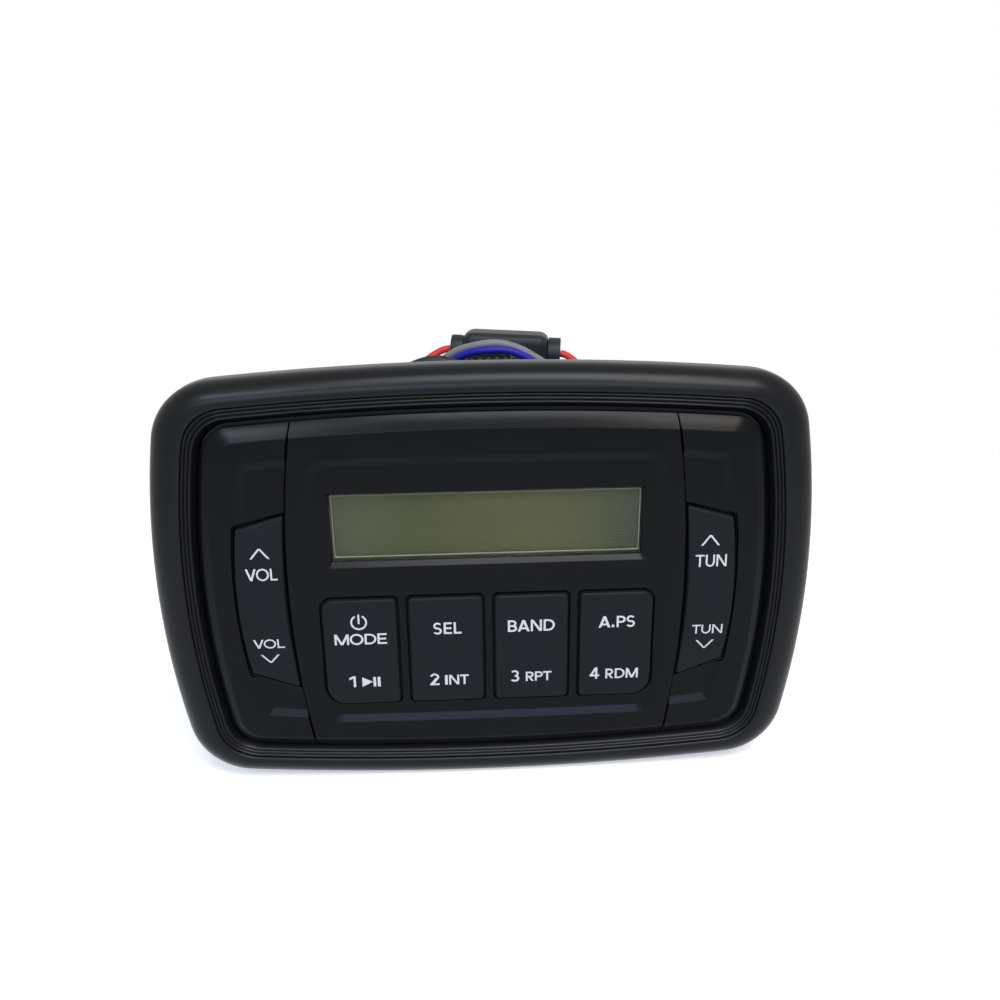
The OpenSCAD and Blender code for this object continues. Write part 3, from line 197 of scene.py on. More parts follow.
metalLooks = {
    # rolled stainless screws: cool grey with a soft glint
    "stainlessSteel": {"colour": "#b9bcbf", "shade": "#a6a9ad", "roughness": 0.3, "spread": 0.06,
                       "grain": 0.4, "bite": 0.15, "stretch": (1, 1, 1)},
    # tinned steel can: slightly yellow-grey, hazy
    "tinnedSteel": {"colour": "#c2c2bd", "shade": "#adada8", "roughness": 0.35, "spread": 0.08,
                    "grain": 1.2, "bite": 0.1, "stretch": (1, 6, 1)},
    # nickel plate on brass: warm and bright
    "nickelPlate": {"colour": "#c9c5bb", "shade": "#bdb9ae", "roughness": 0.2, "spread": 0.04,
                    "grain": 0.5, "bite": 0.08, "stretch": (1, 1, 1)},
    # die-cast aluminium, bead-blasted: pale grey, matt and speckled
    "castAluminium": {"colour": "#9a9da0", "shade": "#85888b", "roughness": 0.48, "spread": 0.08,
                      "grain": 0.5, "bite": 0.5, "stretch": (1, 1, 1)},
}
finish.update({name: metalFinish(name, look) for name, look in metalLooks.items()})


# extruded PVC lead: die lines run along it, from its own UV map
leadSkin = {"linesRound": 24, "linesPerMm": 0.02, "bite": 0.12, "depth": 0.02, "gloss": 0.12}


def leadFinish(name, colour, shade, roughness):
    material, tree, shader, place = startMaterial(name)
    uv = addNode(tree, "ShaderNodeUVMap", {"uv_map": "along"})
    lines = addNode(tree, "ShaderNodeMapping",
                    {"Scale": (leadSkin["linesRound"], leadSkin["linesPerMm"] / mm, 1)},
                    {"Vector": uv.outputs[0]})
    streak = addNode(tree, "ShaderNodeTexNoise", {"Scale": 1.0, "Detail": 2.0}, {"Vector": lines.outputs[0]})
    tint = addNode(tree, "ShaderNodeMix", {"data_type": "RGBA", 6: linear(colour), 7: linear(shade)},
                   {0: streak.outputs["Fac"]})
    bump = addNode(tree, "ShaderNodeBump",
                   {"Strength": leadSkin["bite"], "Distance": leadSkin["depth"] * mm},
                   {"Height": streak.outputs["Fac"]})
    shader.inputs["IOR"].default_value = 1.53
    shader.inputs["Roughness"].default_value = roughness
    shader.inputs["Specular IOR Level"].default_value = leadSkin["gloss"]
    tree.links.new(tint.outputs[2], shader.inputs["Base Color"])
    tree.links.new(bump.outputs[0], shader.inputs["Normal"])
    return material


finish["redPvc"] = leadFinish("redPvc", "#bb322d", "#b02b27", 0.4)
finish["bluePvc"] = leadFinish("bluePvc", "#1d1d80", "#191974", 0.4)
finish["greyPvc"] = leadFinish("greyPvc", "#6c6c6c", "#646464", 0.42)
finish["blackPvc"] = leadFinish("blackPvc", "#191b1c", "#1f2122", 0.45)


# white pad-printing ink: flat white with a trace of pinholes
inkLook = {"colour": "#b2b4b1", "pinhole": "#9c9e9b", "speck": 0.35}


def inkFinish(name, look):
    material, tree, shader, place = startMaterial(name)
    speck = addNode(tree, "ShaderNodeTexNoise", {"Scale": 1 / (look["speck"] * mm), "Detail": 2.0},
                    {"Vector": place.outputs["Object"]})
    tint = addNode(tree, "ShaderNodeMix",
                   {"data_type": "RGBA", 6: linear(look["colour"]), 7: linear(look["pinhole"])},
                   {0: speck.outputs["Fac"]})
    shader.inputs["Roughness"].default_value = 0.55
    shader.inputs["IOR"].default_value = 1.5
    tree.links.new(tint.outputs[2], shader.inputs["Base Color"])
    return material


finish["whiteInk"] = inkFinish("whiteInk", inkLook)


# cast acrylic with an anti-glare skin, which a low index stands for, and the fuse's plain glass; a slow
# wave keeps reflections from being ruled straight
clearSkin = {"wave": 30, "bite": 0.02, "depth": 0.05, "roughness": 0.03}


def clearFinish(name, colour, bend):
    material, tree, shader, place = startMaterial(name)
    wave = addNode(tree, "ShaderNodeTexNoise", {"Scale": 1 / (clearSkin["wave"] * mm), "Detail": 0.0},
                   {"Vector": place.outputs["Object"]})
    bump = addNode(tree, "ShaderNodeBump",
                   {"Strength": clearSkin["bite"], "Distance": clearSkin["depth"] * mm},
                   {"Height": wave.outputs["Fac"]})
    for key, value in {"Base Color": linear(colour), "Transmission Weight": 1.0, "IOR": bend,
                       "Roughness": clearSkin["roughness"]}.items():
        shader.inputs[key].default_value = value
    tree.links.new(bump.outputs[0], shader.inputs["Normal"])
    return material


finish["castAcrylic"] = clearFinish("castAcrylic", "#eef2ea", 1.16)
finish["fuseGlass"] = clearFinish("fuseGlass", "#f4f7f6", 1.5)


# reflective liquid-crystal panel, switched off: olive, greener to the ends, browner in the middle
crystal = {"halfWide": 37, "mottle": 6, "roughness": (0.28, 0.36), "stops": [
    (0.0, "#424334"), (0.28, "#3e4029"), (0.55, "#48452e"), (0.75, "#474530"), (1.0, "#363a30")]}


def crystalFinish(name):
    material, tree, shader, place = startMaterial(name)
    apart = addNode(tree, "ShaderNodeSeparateXYZ", links={0: place.outputs["Object"]})
    across = addNode(tree, "ShaderNodeMapRange",
                     {"From Min": -crystal["halfWide"] * mm, "From Max": crystal["halfWide"] * mm},
                     {"Value": apart.outputs[0]})
    ramp = addNode(tree, "ShaderNodeValToRGB", links={0: across.outputs[0]})
    for i, (at, colour) in enumerate(crystal["stops"]):
        stop = ramp.color_ramp.elements[i] if i < 2 else ramp.color_ramp.elements.new(at)
        stop.position = at
        stop.color = linear(colour)
    mottle = addNode(tree, "ShaderNodeTexNoise", {"Scale": 1 / (crystal["mottle"] * mm), "Detail": 3.0},
                     {"Vector": place.outputs["Object"]})
    gloss = addNode(tree, "ShaderNodeMapRange", {"To Min": crystal["roughness"][0],
                    "To Max": crystal["roughness"][1]}, {"Value": mottle.outputs["Fac"]})
    shader.inputs["IOR"].default_value = 1.52
    shader.inputs["Specular IOR Level"].default_value = 0.12
    tree.links.new(ramp.outputs[0], shader.inputs["Base Color"])
    tree.links.new(gloss.outputs[0], shader.inputs["Roughness"])
    return material


finish["crystalPanel"] = crystalFinish("crystalPanel")
print("materials made:", len(finish))


# a corner-rounded line or loop: each corner takes an arc of its own radius
def roundedLine(points, radii, steps=5, closed=False):
    line = []
    count = len(points)
    for i, corner in enumerate(points):
        radius = radii[i] if isinstance(radii, (list, tuple)) else radii
        if not closed and i in (0, count - 1) or radius <= 0:
            line.append(Vector(corner))
            continue
        here, before, after = Vector(corner), Vector(points[i - 1]), Vector(points[(i + 1) % count])
        back, on = before - here, after - here
        turn = math.pi - back.angle(on)
        reach = min(radius * math.tan(turn / 2), 0.49 * back.length, 0.49 * on.length)
        start, end = here + back.normalized() * reach, here + on.normalized() * reach
        weight = math.cos(turn / 2)
        for k in range(steps + 1):
            t = k / steps
            low, mid, high = (1 - t) ** 2, 2 * weight * t * (1 - t), t * t
            line.append((start * low + here * mid + end * high) / (low + mid + high))
    return line


def arc(cx, cz, r, start, end, steps, last=False):
    turns = [start + (end - start) * i / steps for i in range(steps + (1 if last else 0))]
    return [Vector((cx + r * math.cos(t), cz + r * math.sin(t))) for t in turns]


# bowed outline: two long arcs and a corner arc that touches both, four times
def bowedOutline(a, b, sideR, topR, cornerR, steps=(12, 16, 22)):
    side, top = Vector((a - sideR, 0)), Vector((0, b - topR))
    gap = (top - side).length
    along = (top - side) / gap
    ra, rb = sideR - cornerR, topR - cornerR
    reach = (ra * ra - rb * rb + gap * gap) / (2 * gap)
    across = math.sqrt(ra * ra - reach * reach)
    c = side + reach * along + across * Vector((-along.y, along.x))
    t1, t2 = math.atan2(c.y, c.x - side.x), math.atan2(c.y - top.y, c.x)
    quarter = (arc(side.x, 0, sideR, 0, t1, steps[0]) + arc(c.x, c.y, cornerR, t1, t2, steps[1])
               + arc(0, top.y, topR, t2, math.pi / 2, steps[2], True))
    left = [Vector((-p.x, p.y)) for p in reversed(quarter[:-1])]
    upper = quarter + left
    return upper + [Vector((p.x, -p.y)) for p in reversed(upper[1:-1])]


def roundRect(x0, z0, x1, z1, radii, steps=8):
    corners = [(x0, z0), (x1, z0), (x1, z1), (x0, z1)]
    return roundedLine(corners, list(radii), steps, True)


# a skin over a row of rings; closed makes the last ring meet the first, else the ends are capped
def loftMesh(name, rings, closed=False):
    mesh = bpy.data.meshes.new(name)
    n, m = len(rings[0]), len(rings)
    points = [Vector(p) * mm for ring in rings for p in ring]
    faces = []
    for k in range(m if closed else m - 1):
        a, b = k * n, ((k + 1) % m) * n
        faces += [(a + i, a + (i + 1) % n, b + (i + 1) % n, b + i) for i in range(n)]
    if not closed:
        faces += [tuple(range(n)), tuple(range((m - 1) * n, m * n))]
    mesh.from_pydata(points, [], faces)
    tidyMesh(mesh)
    return mesh


# doubles merged, then every face turned outwards
def tidyMesh(mesh, merge=0.0005):
    work = bmesh.new()
    work.from_mesh(mesh)
    bmesh.ops.remove_doubles(work, verts=work.verts, dist=merge * mm)
    bmesh.ops.dissolve_degenerate(work, dist=merge * mm, edges=work.edges)
    bmesh.ops.recalc_face_normals(work, faces=work.faces)
    work.to_mesh(mesh)
    work.free()
    mesh.update()


# rings of an outline at each (inset, depth) of a profile; depths grow towards the viewer
def ringsOf(outline, profile):
    return [[(p.x, -depth, p.y) for p in outline(inset)] for inset, depth in profile]


# rings round an axis, for turned shapes: profile of (radius, distance)
def turnedRings(profile, start, direction, sides=48):
    along = Vector(direction).normalized()
    side = along.orthogonal().normalized()
    up = along.cross(side)
    turns = [2 * math.pi * k / sides for k in range(sides)]
    return [[Vector(start) + along * d + (side * math.cos(t) + up * math.sin(t)) * r for t in turns]
            for r, d in profile]


# one mesh out of several
def joined(name, meshes):
    work = bmesh.new()
    for mesh in meshes:
        work.from_mesh(mesh)
    result = bpy.data.meshes.new(name)
    work.to_mesh(result)
    work.free()
    return result


# a block between two corners with all its edges rounded
def roundedBlock(name, low, high, radius, steps=3):
    work = bmesh.new()
    bmesh.ops.create_cube(work, size=1)
    size = Vector(high) - Vector(low)
    middle = (Vector(high) + Vector(low)) / 2
    for v in work.verts:
        v.co = Vector(v.co[i] * size[i] + middle[i] for i in range(3)) * mm
    bmesh.ops.bevel(work, geom=work.edges[:], offset=radius * mm, segments=steps, profile=0.5,
                    affect="EDGES")
    mesh = bpy.data.meshes.new(name)
    work.to_mesh(mesh)
    work.free()
    return mesh


# what the modifiers on an object make, as a plain mesh
def bakedMesh(piece):
    bpy.context.view_layer.update()
    graph = bpy.context.evaluated_depsgraph_get()
    grown = piece.evaluated_get(graph)
    return bpy.data.meshes.new_from_object(grown, preserve_all_data_layers=True, depsgraph=graph)


def looseObject(name, mesh):
    piece = bpy.data.objects.new(name, mesh)
    scene.collection.objects.link(piece)
    return piece


# solid cut or crossed by others, exactly
def carved(name, mesh, cutters, operation="DIFFERENCE"):
    body = looseObject(name, mesh)
    helpers = []
    for cutter in cutters:
        helper = looseObject(name + "Cutter", cutter)
        cut = body.modifiers.new("carve", "BOOLEAN")
        cut.operation, cut.solver, cut.object = operation, "EXACT", helper
        helpers.append(helper)
    result = bakedMesh(body)
    for helper in helpers + [body]:
        bpy.data.objects.remove(helper)
    tidyMesh(result, 0.002)
    return result


# smooth shading with crisp edges, a finish, the body it rides and the CAD nodes it stands for
def addPiece(name, mesh, material, body="receiver", replaced=(), sharpAt=32, even=True):
    mesh.materials.clear()
    mesh.materials.append(material)
    mesh.shade_smooth()
    mesh.set_sharp_from_angle(angle=math.radians(sharpAt))
    piece = looseObject(name, mesh)
    if even:
        weights = piece.modifiers.new("evenNormals", "WEIGHTED_NORMAL")
        weights.keep_sharp = True
        piece.data = bakedMesh(piece)
        piece.modifiers.clear()
        piece.data.name = name
    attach(piece, body)
    if replaced:
        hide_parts(*replaced)
    return piece


# leads: routes in mm over the housing's top face, point by point
housingTop = 40
leads = {
    "redLeadIn": {"node": "red_lead_in", "finish": "redPvc", "slot": "red_pvc", "wide": 2,
        "end": "fitting",
        "route": [(8, 36.4, 2), (6, 36.4, 2), (0.5, 36.4, 1.2), (-5.5, 36.5, 1.05), (-11, 37, 1.05),
                  (-16, 39.4, 1.1), (-18.7, 43.2, 1.4), (-18, 47.2, 2.5), (-15, 49.9, 4.3),
                  (-11.8, 50.8, 6.2), (-9.4, 50.75, 7.2), (-7.5, 50.5, 7.4)]},
    "redLeadOut": {"node": "red_lead_out", "finish": "redPvc", "slot": "red_pvc", "wide": 2,
        "end": "connector",
        "route": [(23.5, 46.5, 6.1), (25.1, 46.3, 5.7), (26.9, 46, 4.5), (28.8, 45.7, 3),
                  (31.2, 45.3, 1.7), (34.6, 44.9, 1.1), (40.5, 44.4, 1.05), (46, 43.2, 1.05),
                  (50.4, 40, 1.05), (53, 35.2, 1.05), (53.8, 30, 1.5), (53.8, 25.5, 2.7),
                  (53.8, 22.5, 2.7)]},
    "blueLead": {"node": "blue_lead", "finish": "bluePvc", "slot": "blue_pvc", "wide": 2,
        "end": "plug",
        "route": [(13.8, 19, 2), (13.8, 17, 2), (14.8, 13.4, 1.4), (18.6, 10.9, 1.05), (23.4, 11.4, 1.05),
                  (27.2, 14.4, 1.05), (28.6, 19, 1.1), (26.8, 23, 1.5), (22.4, 25.2, 2.6),
                  (17.6, 25.6, 5.2), (12.8, 25.6, 8.6), (7.5, 25.6, 10.8), (1.8, 25.8, 11),
                  (-3.5, 27.2, 10), (-8, 29.2, 7.4), (-12.3, 30.9, 4), (-17, 31.8, 2), (-22, 31.8, 2),
                  (-25, 31.8, 2.6), (-27, 31.8, 2.6)]},
    "greyLead": {"node": "grey_lead", "finish": "greyPvc", "slot": "grey_pvc", "wide": 2,
        "end": "plug",
        "route": [(11, 19, 2), (11, 17, 2), (11.6, 12.4, 1.4), (15.6, 8.6, 1.05), (21.4, 7.8, 1.05),
                  (27, 9.6, 1.05), (30.9, 13.8, 1.05), (31.8, 19, 1.1), (29.8, 23.8, 1.5),
                  (25.4, 27, 2.6), (20.5, 27.8, 4.9), (15.5, 27.8, 8), (10.5, 27.7, 10.9),
                  (5, 27.8, 12.4), (-0.5, 28.2, 12), (-6, 30.2, 10.2), (-10.8, 32, 7), (-15, 33.6, 3.6),
                  (-19.8, 34.2, 2), (-25, 34.2, 2.6), (-27, 34.2, 2.6)]},
    "blackCable": {"node": "black_cable", "finish": "blackPvc", "slot": "black_pvc", "wide": 3,
        "end": "plug",
        "route": [(-4.5, 25, 6.6), (-6.6, 25, 7.5), (-9, 25, 8.25), (-12, 25, 8.55), (-15.5, 25, 7.9),
                  (-19.5, 25, 6.3), (-24, 25, 4.2), (-29.5, 25, 2.2), (-36, 25, 1.6), (-43, 24.6, 1.6),
                  (-49, 21.6, 1.6), (-51, 16, 1.6), (-47.4, 11.4, 1.6), (-41, 10, 1.6), (-33.5, 10, 2.4),
                  (-26, 10, 4.1), (-22, 10, 4.1)]},
}


# a smooth curve through the route's points
def smoothRoute(points, steps=6):
    spots = [Vector(p) for p in points]
    spots = [2 * spots[0] - spots[1]] + spots + [2 * spots[-1] - spots[-2]]
    line = []
    for i in range(1, len(spots) - 2):
        a, b, c, d = spots[i - 1:i + 3]
        for k in range(steps):
            t = k / steps
            line.append(0.5 * (2 * b + (c - a) * t + (2 * a - 5 * b + 4 * c - d) * t * t
                               + (3 * b - a - 3 * c + d) * t ** 3))
    return line + [spots[-2]]


# a round tube along a line, with a UV map that runs round it and along it
def tubeMesh(name, line, radius, sides=20):
    spans = [(line[max(i - 1, 0)], line[min(i + 1, len(line) - 1)]) for i in range(len(line))]
    tangents = [(after - before).normalized() for before, after in spans]
    turns = [2 * math.pi * k / sides for k in range(sides)]
    side = tangents[0].cross(Vector((0, 0, 1))).normalized()
    rings = []
    for at, tangent in zip(line, tangents):
        side = (side - tangent * side.dot(tangent)).normalized()
        up = side.cross(tangent)
        rings.append([at + radius * (side * math.cos(t) + up * math.sin(t)) for t in turns])
    mesh = loftMesh(name, rings)
    layer = mesh.uv_layers.new(name="along")
    lengths = [0.0]
    for a, b in zip(line, line[1:]):
        lengths.append(lengths[-1] + (b - a).length * mm)
    for face in mesh.polygons:
        first = face.loop_indices[0]
        turned = []
        for loop in face.loop_indices:
            v = mesh.loops[loop].vertex_index
            turned.append((v % sides / sides, lengths[min(v // sides, len(line) - 1)]))
        wide = max(t[0] for t in turned) - min(t[0] for t in turned) > 0.5
        for k, loop in enumerate(face.loop_indices):
            u, v = turned[k]
            layer.data[loop].uv = (u + 1 if wide and u < 0.5 else u, v)
    return mesh


leadPieces, leadPaths = {}, {}
for name, lead in leads.items():
    line = smoothRoute([(x, y, z + housingTop) for x, y, z in lead["route"]])
    leadPieces[name] = addPiece(name, tubeMesh(name, line, lead["wide"] / 2), finish[lead["finish"]],
                                replaced=[lead["node"]], even=False, sharpAt=60)
    leadPaths[name] = [p * mm for p in line]
print("leads made:", len(leadPieces))


# trim bezel
bezel = {"halfWidth": 80, "halfHeight": 53.8, "sideBow": 211, "topBow": 725, "cornerR": 15.8,
         "cornerLoss": 5.4, "cornerFollow": 0.7, "steps": (14, 22, 26), "sideBand": 7.9, "topBand": 6,
         "proud": 11.95, "widestAt": 6.4, "crest": 0.86, "foot": 11.4, "valley": 11.05, "ridges": 3,
         "pitch": 0.87, "ridgeDepth": 0.45, "ridgeSteps": 10, "innerEdge": 0.84, "innerDrop": 1.6,
         "bandSteps": 30, "tuck": 0.1, "tuckSteps": 8, "rear": 0.3, "hollow": 9.45, "wallWide": 2.25,
         "wallEnd": 3.3}
clip = {"x": 34, "z": 51.3, "halfWide": 4, "halfHigh": 1.2, "front": 2.2, "back": 1.4, "soft": 0.2}


def bezelOutline(share, inset=0):
    return bowedOutline(bezel["halfWidth"] - share * bezel["sideBand"] - inset,
                        bezel["halfHeight"] - share * bezel["topBand"] - inset,
                        bezel["sideBow"] - share * bezel["sideBand"] - inset,
                        bezel["topBow"] - share * bezel["topBand"] - inset,
                        bezel["cornerR"] - share * bezel["cornerLoss"] - inset * bezel["cornerFollow"],
                        bezel["steps"])


# the section, point by point: share of the band crossed, inset past the band, depth
ridgesWide = bezel["ridges"] * bezel["pitch"]
rimWide = ridgesWide + bezel["innerEdge"]
rimLow = bezel["valley"] - bezel["innerDrop"]
section = [(1, rimWide, rimLow - 0.1), (1, rimWide - 0.04, rimLow + 0.05),
           (1, ridgesWide + 0.06, bezel["valley"] - 0.1)]
for i in range(bezel["ridges"] * bezel["ridgeSteps"] + 1):
    f = i / bezel["ridgeSteps"]
    ridge = bezel["ridgeDepth"] * abs(math.sin(math.pi * f))
    section.append((1, ridgesWide - f * bezel["pitch"], bezel["valley"] + ridge))
section += [(share, 0, bezel["foot"] + rise) for share, rise in ((0.99, 0.16), (0.96, 0.38), (0.92, 0.5))]
for i in range(bezel["bandSteps"] + 1):  # the rounded band, out to the widest line
    t = math.pi / 2 * i / bezel["bandSteps"]
    section.append((bezel["crest"] * (1 - math.sin(t)), 0,
                    bezel["widestAt"] + (bezel["proud"] - bezel["widestAt"]) * math.cos(t)))
for i in range(1, bezel["tuckSteps"] + 1):  # the side tucks in under the widest line
    t = i / bezel["tuckSteps"]
    drop = (bezel["widestAt"] - bezel["rear"] - 0.25) * t
    section.append((bezel["tuck"] * t ** 3, 0, bezel["widestAt"] - drop))
section += [(0.105, 0, 0.4), (0.12, 0, bezel["rear"]), (0.215, 0, bezel["rear"]), (0.23, 0, 0.4),
            (0.23, 0, 6), (0.34, 0, 7.6), (0.45, 0, 8.6), (0.6, 0, 9.4), (0.75, 0, 9.9),
            (1, 1.2, bezel["hollow"]), (1, bezel["wallWide"], bezel["hollow"]),
            (1, bezel["wallWide"], bezel["wallEnd"]), (1, rimWide - 0.15, bezel["wallEnd"]),
            (1, rimWide, bezel["wallEnd"] + 0.15)]
bezelRings = [[(p.x, -depth, p.y) for p in bezelOutline(share, inset)] for share, inset, depth in section]
clips = [roundedBlock("clip",
                      (sx * clip["x"] - clip["halfWide"], -clip["front"], sz * clip["z"] - clip["halfHigh"]),
                      (sx * clip["x"] + clip["halfWide"], -clip["back"], sz * clip["z"] + clip["halfHigh"]),
                      clip["soft"]) for sx, sz in fourCorners]
addPiece("trimBezel", joined("trimBezel", [loftMesh("bezelRing", bezelRings, True)] + clips),
         finish["softTouchAbs"], replaced=["trim_bezel"], sharpAt=38, even=False)
print("bezel made")

# front plates: one island with a rolled margin, split by bowed seams into a middle and two wings
front = {"a": 68.3, "b": 43.75, "sideBow": 199.3, "topBow": 715.2, "cornerR": 7.6, "lowered": 0.5,
         "sag": 0.12, "face": 12, "slopeWide": 2.84, "slopeDrop": 1.8, "rimDrop": 0.13, "slopeSteps": 12,
         "slopeFoot": 9.9, "plate": 2, "lip": 2, "skirt": 8.8, "seamAt": 48, "seamBow": 235,
         "seamGap": 0.3, "seamReach": 56, "seamSteps": 40, "recess": 11.1, "recessSlope": 2, "cutTo": 7}
recess = {"halfWide": 43.6, "halfHigh": 34.9, "sideBow": 320, "topBow": 2600, "cornerR": 5, "shift": -1.4}
wing = {"pocketFrom": 40, "pocketTop": 34.4, "pocketLow": -35, "pocketCorner": 1.2, "slant": 1.8,
        "holeTop": 20.5, "holeLow": -26.3, "holeSlant": 3.2, "lowSlant": 4.8, "holeInner": -2.5,
        "edgeAt": 60.3, "edgeBow": 140, "steps": 24, "past": 81}


def frontOutline(inset=0):
    drop = Vector((0, -front["lowered"] - front["sag"] * min(inset, 3)))
    loop = bowedOutline(front["a"] - inset, front["b"] - inset, front["sideBow"] - inset,
                        front["topBow"] - inset, front["cornerR"] - min(inset, 4) * 0.5, (14, 18, 26))
    return [p + drop for p in loop]


def recessOutline(inset):
    loop = bowedOutline(recess["halfWide"] - inset, recess["halfHigh"] - inset, recess["sideBow"],
                        recess["topBow"], recess["cornerR"] - inset / 2, (12, 14, 20))
    return [p + Vector((0, recess["shift"])) for p in loop]


def seamEdge(z, gap=0):
    return front["seamAt"] + gap - front["seamBow"] + math.sqrt(front["seamBow"] ** 2 - z * z)


def rockerEdge(z, inset=0):
    return wing["edgeAt"] - inset - wing["edgeBow"] + math.sqrt(wing["edgeBow"] ** 2 - z * z)


# the sloped margin is rolled: it leaves the face at an angle and turns steeper towards the bezel
face, rim = front["face"], front["face"] - front["rimDrop"]
islandProfile = [Vector(p) for p in ((6, face), (3.3, face), (3.12, face - 0.015), (2.97, face - 0.06),
                                     (front["slopeWide"], rim))]
for i in range(1, front["slopeSteps"] + 1):
    t = i / front["slopeSteps"]
    fall = (front["slopeDrop"] - front["rimDrop"]) * (0.86 * t + 0.14 * t ** 3)
    islandProfile.append(Vector((front["slopeWide"] * (1 - t), rim - fall)))
islandProfile += [Vector(p) for p in ((0, front["slopeFoot"]), (0, front["skirt"]),
                                      (front["lip"], front["skirt"]), (front["lip"], face - front["plate"]))]


def frontIsland():
    return loftMesh("island", ringsOf(frontOutline, [tuple(p) for p in islandProfile]))


# the middle's region between the bowed seams, or a wing's region beside it, with a softened front edge
softFront = [(0.3, 13.5), (0.3, 12.1), (0.2, 11.98), (0.1, 11.88), (0.03, 11.78), (0, 11.68), (0, 2)]
seamHeights = [front["seamReach"] - 2 * front["seamReach"] * i / front["seamSteps"]
               for i in range(front["seamSteps"] + 1)]


def centreRegion(inset):
    right = [Vector((seamEdge(z, -front["seamGap"] / 2 - inset), z)) for z in reversed(seamHeights)]
    return right + [Vector((-p.x, p.y)) for p in reversed(right)]


def wingRegion(side):
    def outline(inset):
        points = [Vector((seamEdge(z, front["seamGap"] / 2 + inset), z)) for z in seamHeights]
        points += [Vector((wing["past"], z)) for z in (-front["seamReach"], front["seamReach"])]
        return [Vector((side * p.x, p.y)) for p in points]
    return outline


# a sloped cut that starts just above a face, with the rim and the foot of its slope rounded
def slopedCut(outline, top, floor, slope, rim=0.35, foot=0.35):
    corners = [(-0.6, top + 0.9), (-0.45, top + 0.03), (0.12, top - 0.03), (slope, floor),
               (slope + 1.2, floor)]
    profile = roundedLine(corners, [0, rim, rim, foot, 0], 4)
    return loftMesh("slope", ringsOf(outline, [tuple(p) for p in profile]))


# a straight hole behind a rounded rim
def straightCut(outline, top, bottom, rim=0.3):
    turns = [math.pi / 2 * k / 5 for k in range(6)]
    profile = [(-rim - 0.1, top + 1)]
    profile += [(-rim * (1 - math.sin(t)), top - rim * (1 - math.cos(t)) + 0.015) for t in turns]
    return loftMesh("hole", ringsOf(outline, profile + [(0, bottom)]))


keyRadii = [[5, 1.2, 1.2, 3], [1.2] * 4, [1.2] * 4, [1.2, 5, 3, 1.2]]
keyHole = {"wide": 18.9, "pitch": 20.95, "low": -31.1, "high": -1.7}


def keyOutline(i, steps=8):
    def outline(inset):
        x = (i - 1.5) * keyHole["pitch"]
        half = keyHole["wide"] / 2 - inset
        return roundRect(x - half, keyHole["low"] + inset, x + half, keyHole["high"] - inset,
                         [max(0.4, r - inset * 0.6) for r in keyRadii[i]], steps)
    return outline


window = {"half": 36.7, "low": 7.6, "high": 24.0, "flare": 1.5, "ledge": 1.6, "brow": 0.7}


def windowOutline(share):
    return roundRect(-window["half"] - window["flare"] * share, window["low"] - window["ledge"] * share,
                     window["half"] + window["flare"] * share, window["high"] + window["brow"] * share,
                     [max(0.25, 0.3 + 0.7 * share)] * 4, 5)


boss = {"r": 2.3, "hole": 0.9, "foot": 3.1, "tall": 7, "centre": (38.5, 34.2), "wing": (57.2, 27)}


def bossTubes(places):
    profile = [(boss["hole"], 0), (boss["r"], 0), (boss["r"], boss["tall"]), (boss["hole"], boss["tall"])]
    return [loftMesh("boss", turnedRings(profile, (x, -boss["foot"], z), (0, -1, 0), 32), True)
            for x, z in places]


# the opening flares in front of the lens into a sloped ledge
windowProfile = [(1.25, 12.6), (1.12, 11.13), (1.04, 11.09), (0.94, 11.0), (0.08, 9.84), (0, 9.7),
                 (0, front["cutTo"])]
middleBlank = carved("centreBlank", frontIsland(), [loftMesh("middle", ringsOf(centreRegion, softFront))],
                     "INTERSECT")
cutters = [slopedCut(recessOutline, front["face"], front["recess"], front["recessSlope"]),
           loftMesh("windowCut", ringsOf(windowOutline, windowProfile))]
cutters += [straightCut(keyOutline(i), front["recess"], front["cutTo"]) for i in range(4)]
bossX, bossZ = boss["centre"]
centre = [carved("centreFascia", middleBlank, cutters)]
centre += bossTubes([(bossX * sx, bossZ * sz) for sx, sz in fourCorners])
addPiece("centreFascia", joined("centreFascia", centre), finish["satinAbs"], replaced=["fascia_centre"])
print("middle plate made")

# the clear lens has a polished bead just inside the opening, which catches the lamps as a thin line; its
# pale colour paints the rest of that line as a painted highlight
lensBead = {"top": 0.12, "side": 0.16, "foot": 0.62, "wide": 0.22, "at": 9.9, "proud": 0.1}


def beadOutline(inset):
    return roundRect(-window["half"] + lensBead["side"] + inset, window["low"] + lensBead["foot"] + inset,
                     window["half"] - lensBead["side"] - inset, window["high"] - lensBead["top"] - inset,
                     [0.3] * 4, 4)


beadProfile = [(-0.02, lensBead["at"] - 0.2)]
for k in range(9):
    t = math.pi * k / 8
    beadProfile.append((lensBead["wide"] / 2 * (1 - math.cos(t)),
                        lensBead["at"] + lensBead["proud"] * math.sin(t)))
beadProfile.append((lensBead["wide"] + 0.02, lensBead["at"] - 0.2))
# the bead's finish carries a painted highlight in its pale colour, as well as real gloss
addPiece("lensBead", loftMesh("lensBead", ringsOf(beadOutline, beadProfile), True), finish["paintedHighlightEdge"],
         sharpAt=60, even=False)


def pocketOutline(side):
    def outline(inset):
        top, low = wing["pocketTop"] - inset, wing["pocketLow"] + inset
        tall = top - low - 2 * wing["slant"]
        outer = [low + wing["slant"] + tall * i / wing["steps"] for i in range(wing["steps"] + 1)]
        loop = [Vector((wing["pocketFrom"], top)), Vector((wing["pocketFrom"], low))]
        loop += [Vector((rockerEdge(z, inset), z)) for z in outer]
        radii = [0, 0, wing["pocketCorner"]] + [0] * (wing["steps"] - 1) + [wing["pocketCorner"]]
        return [Vector((side * p.x, p.y)) for p in roundedLine(loop, radii, 5, True)]
    return outline


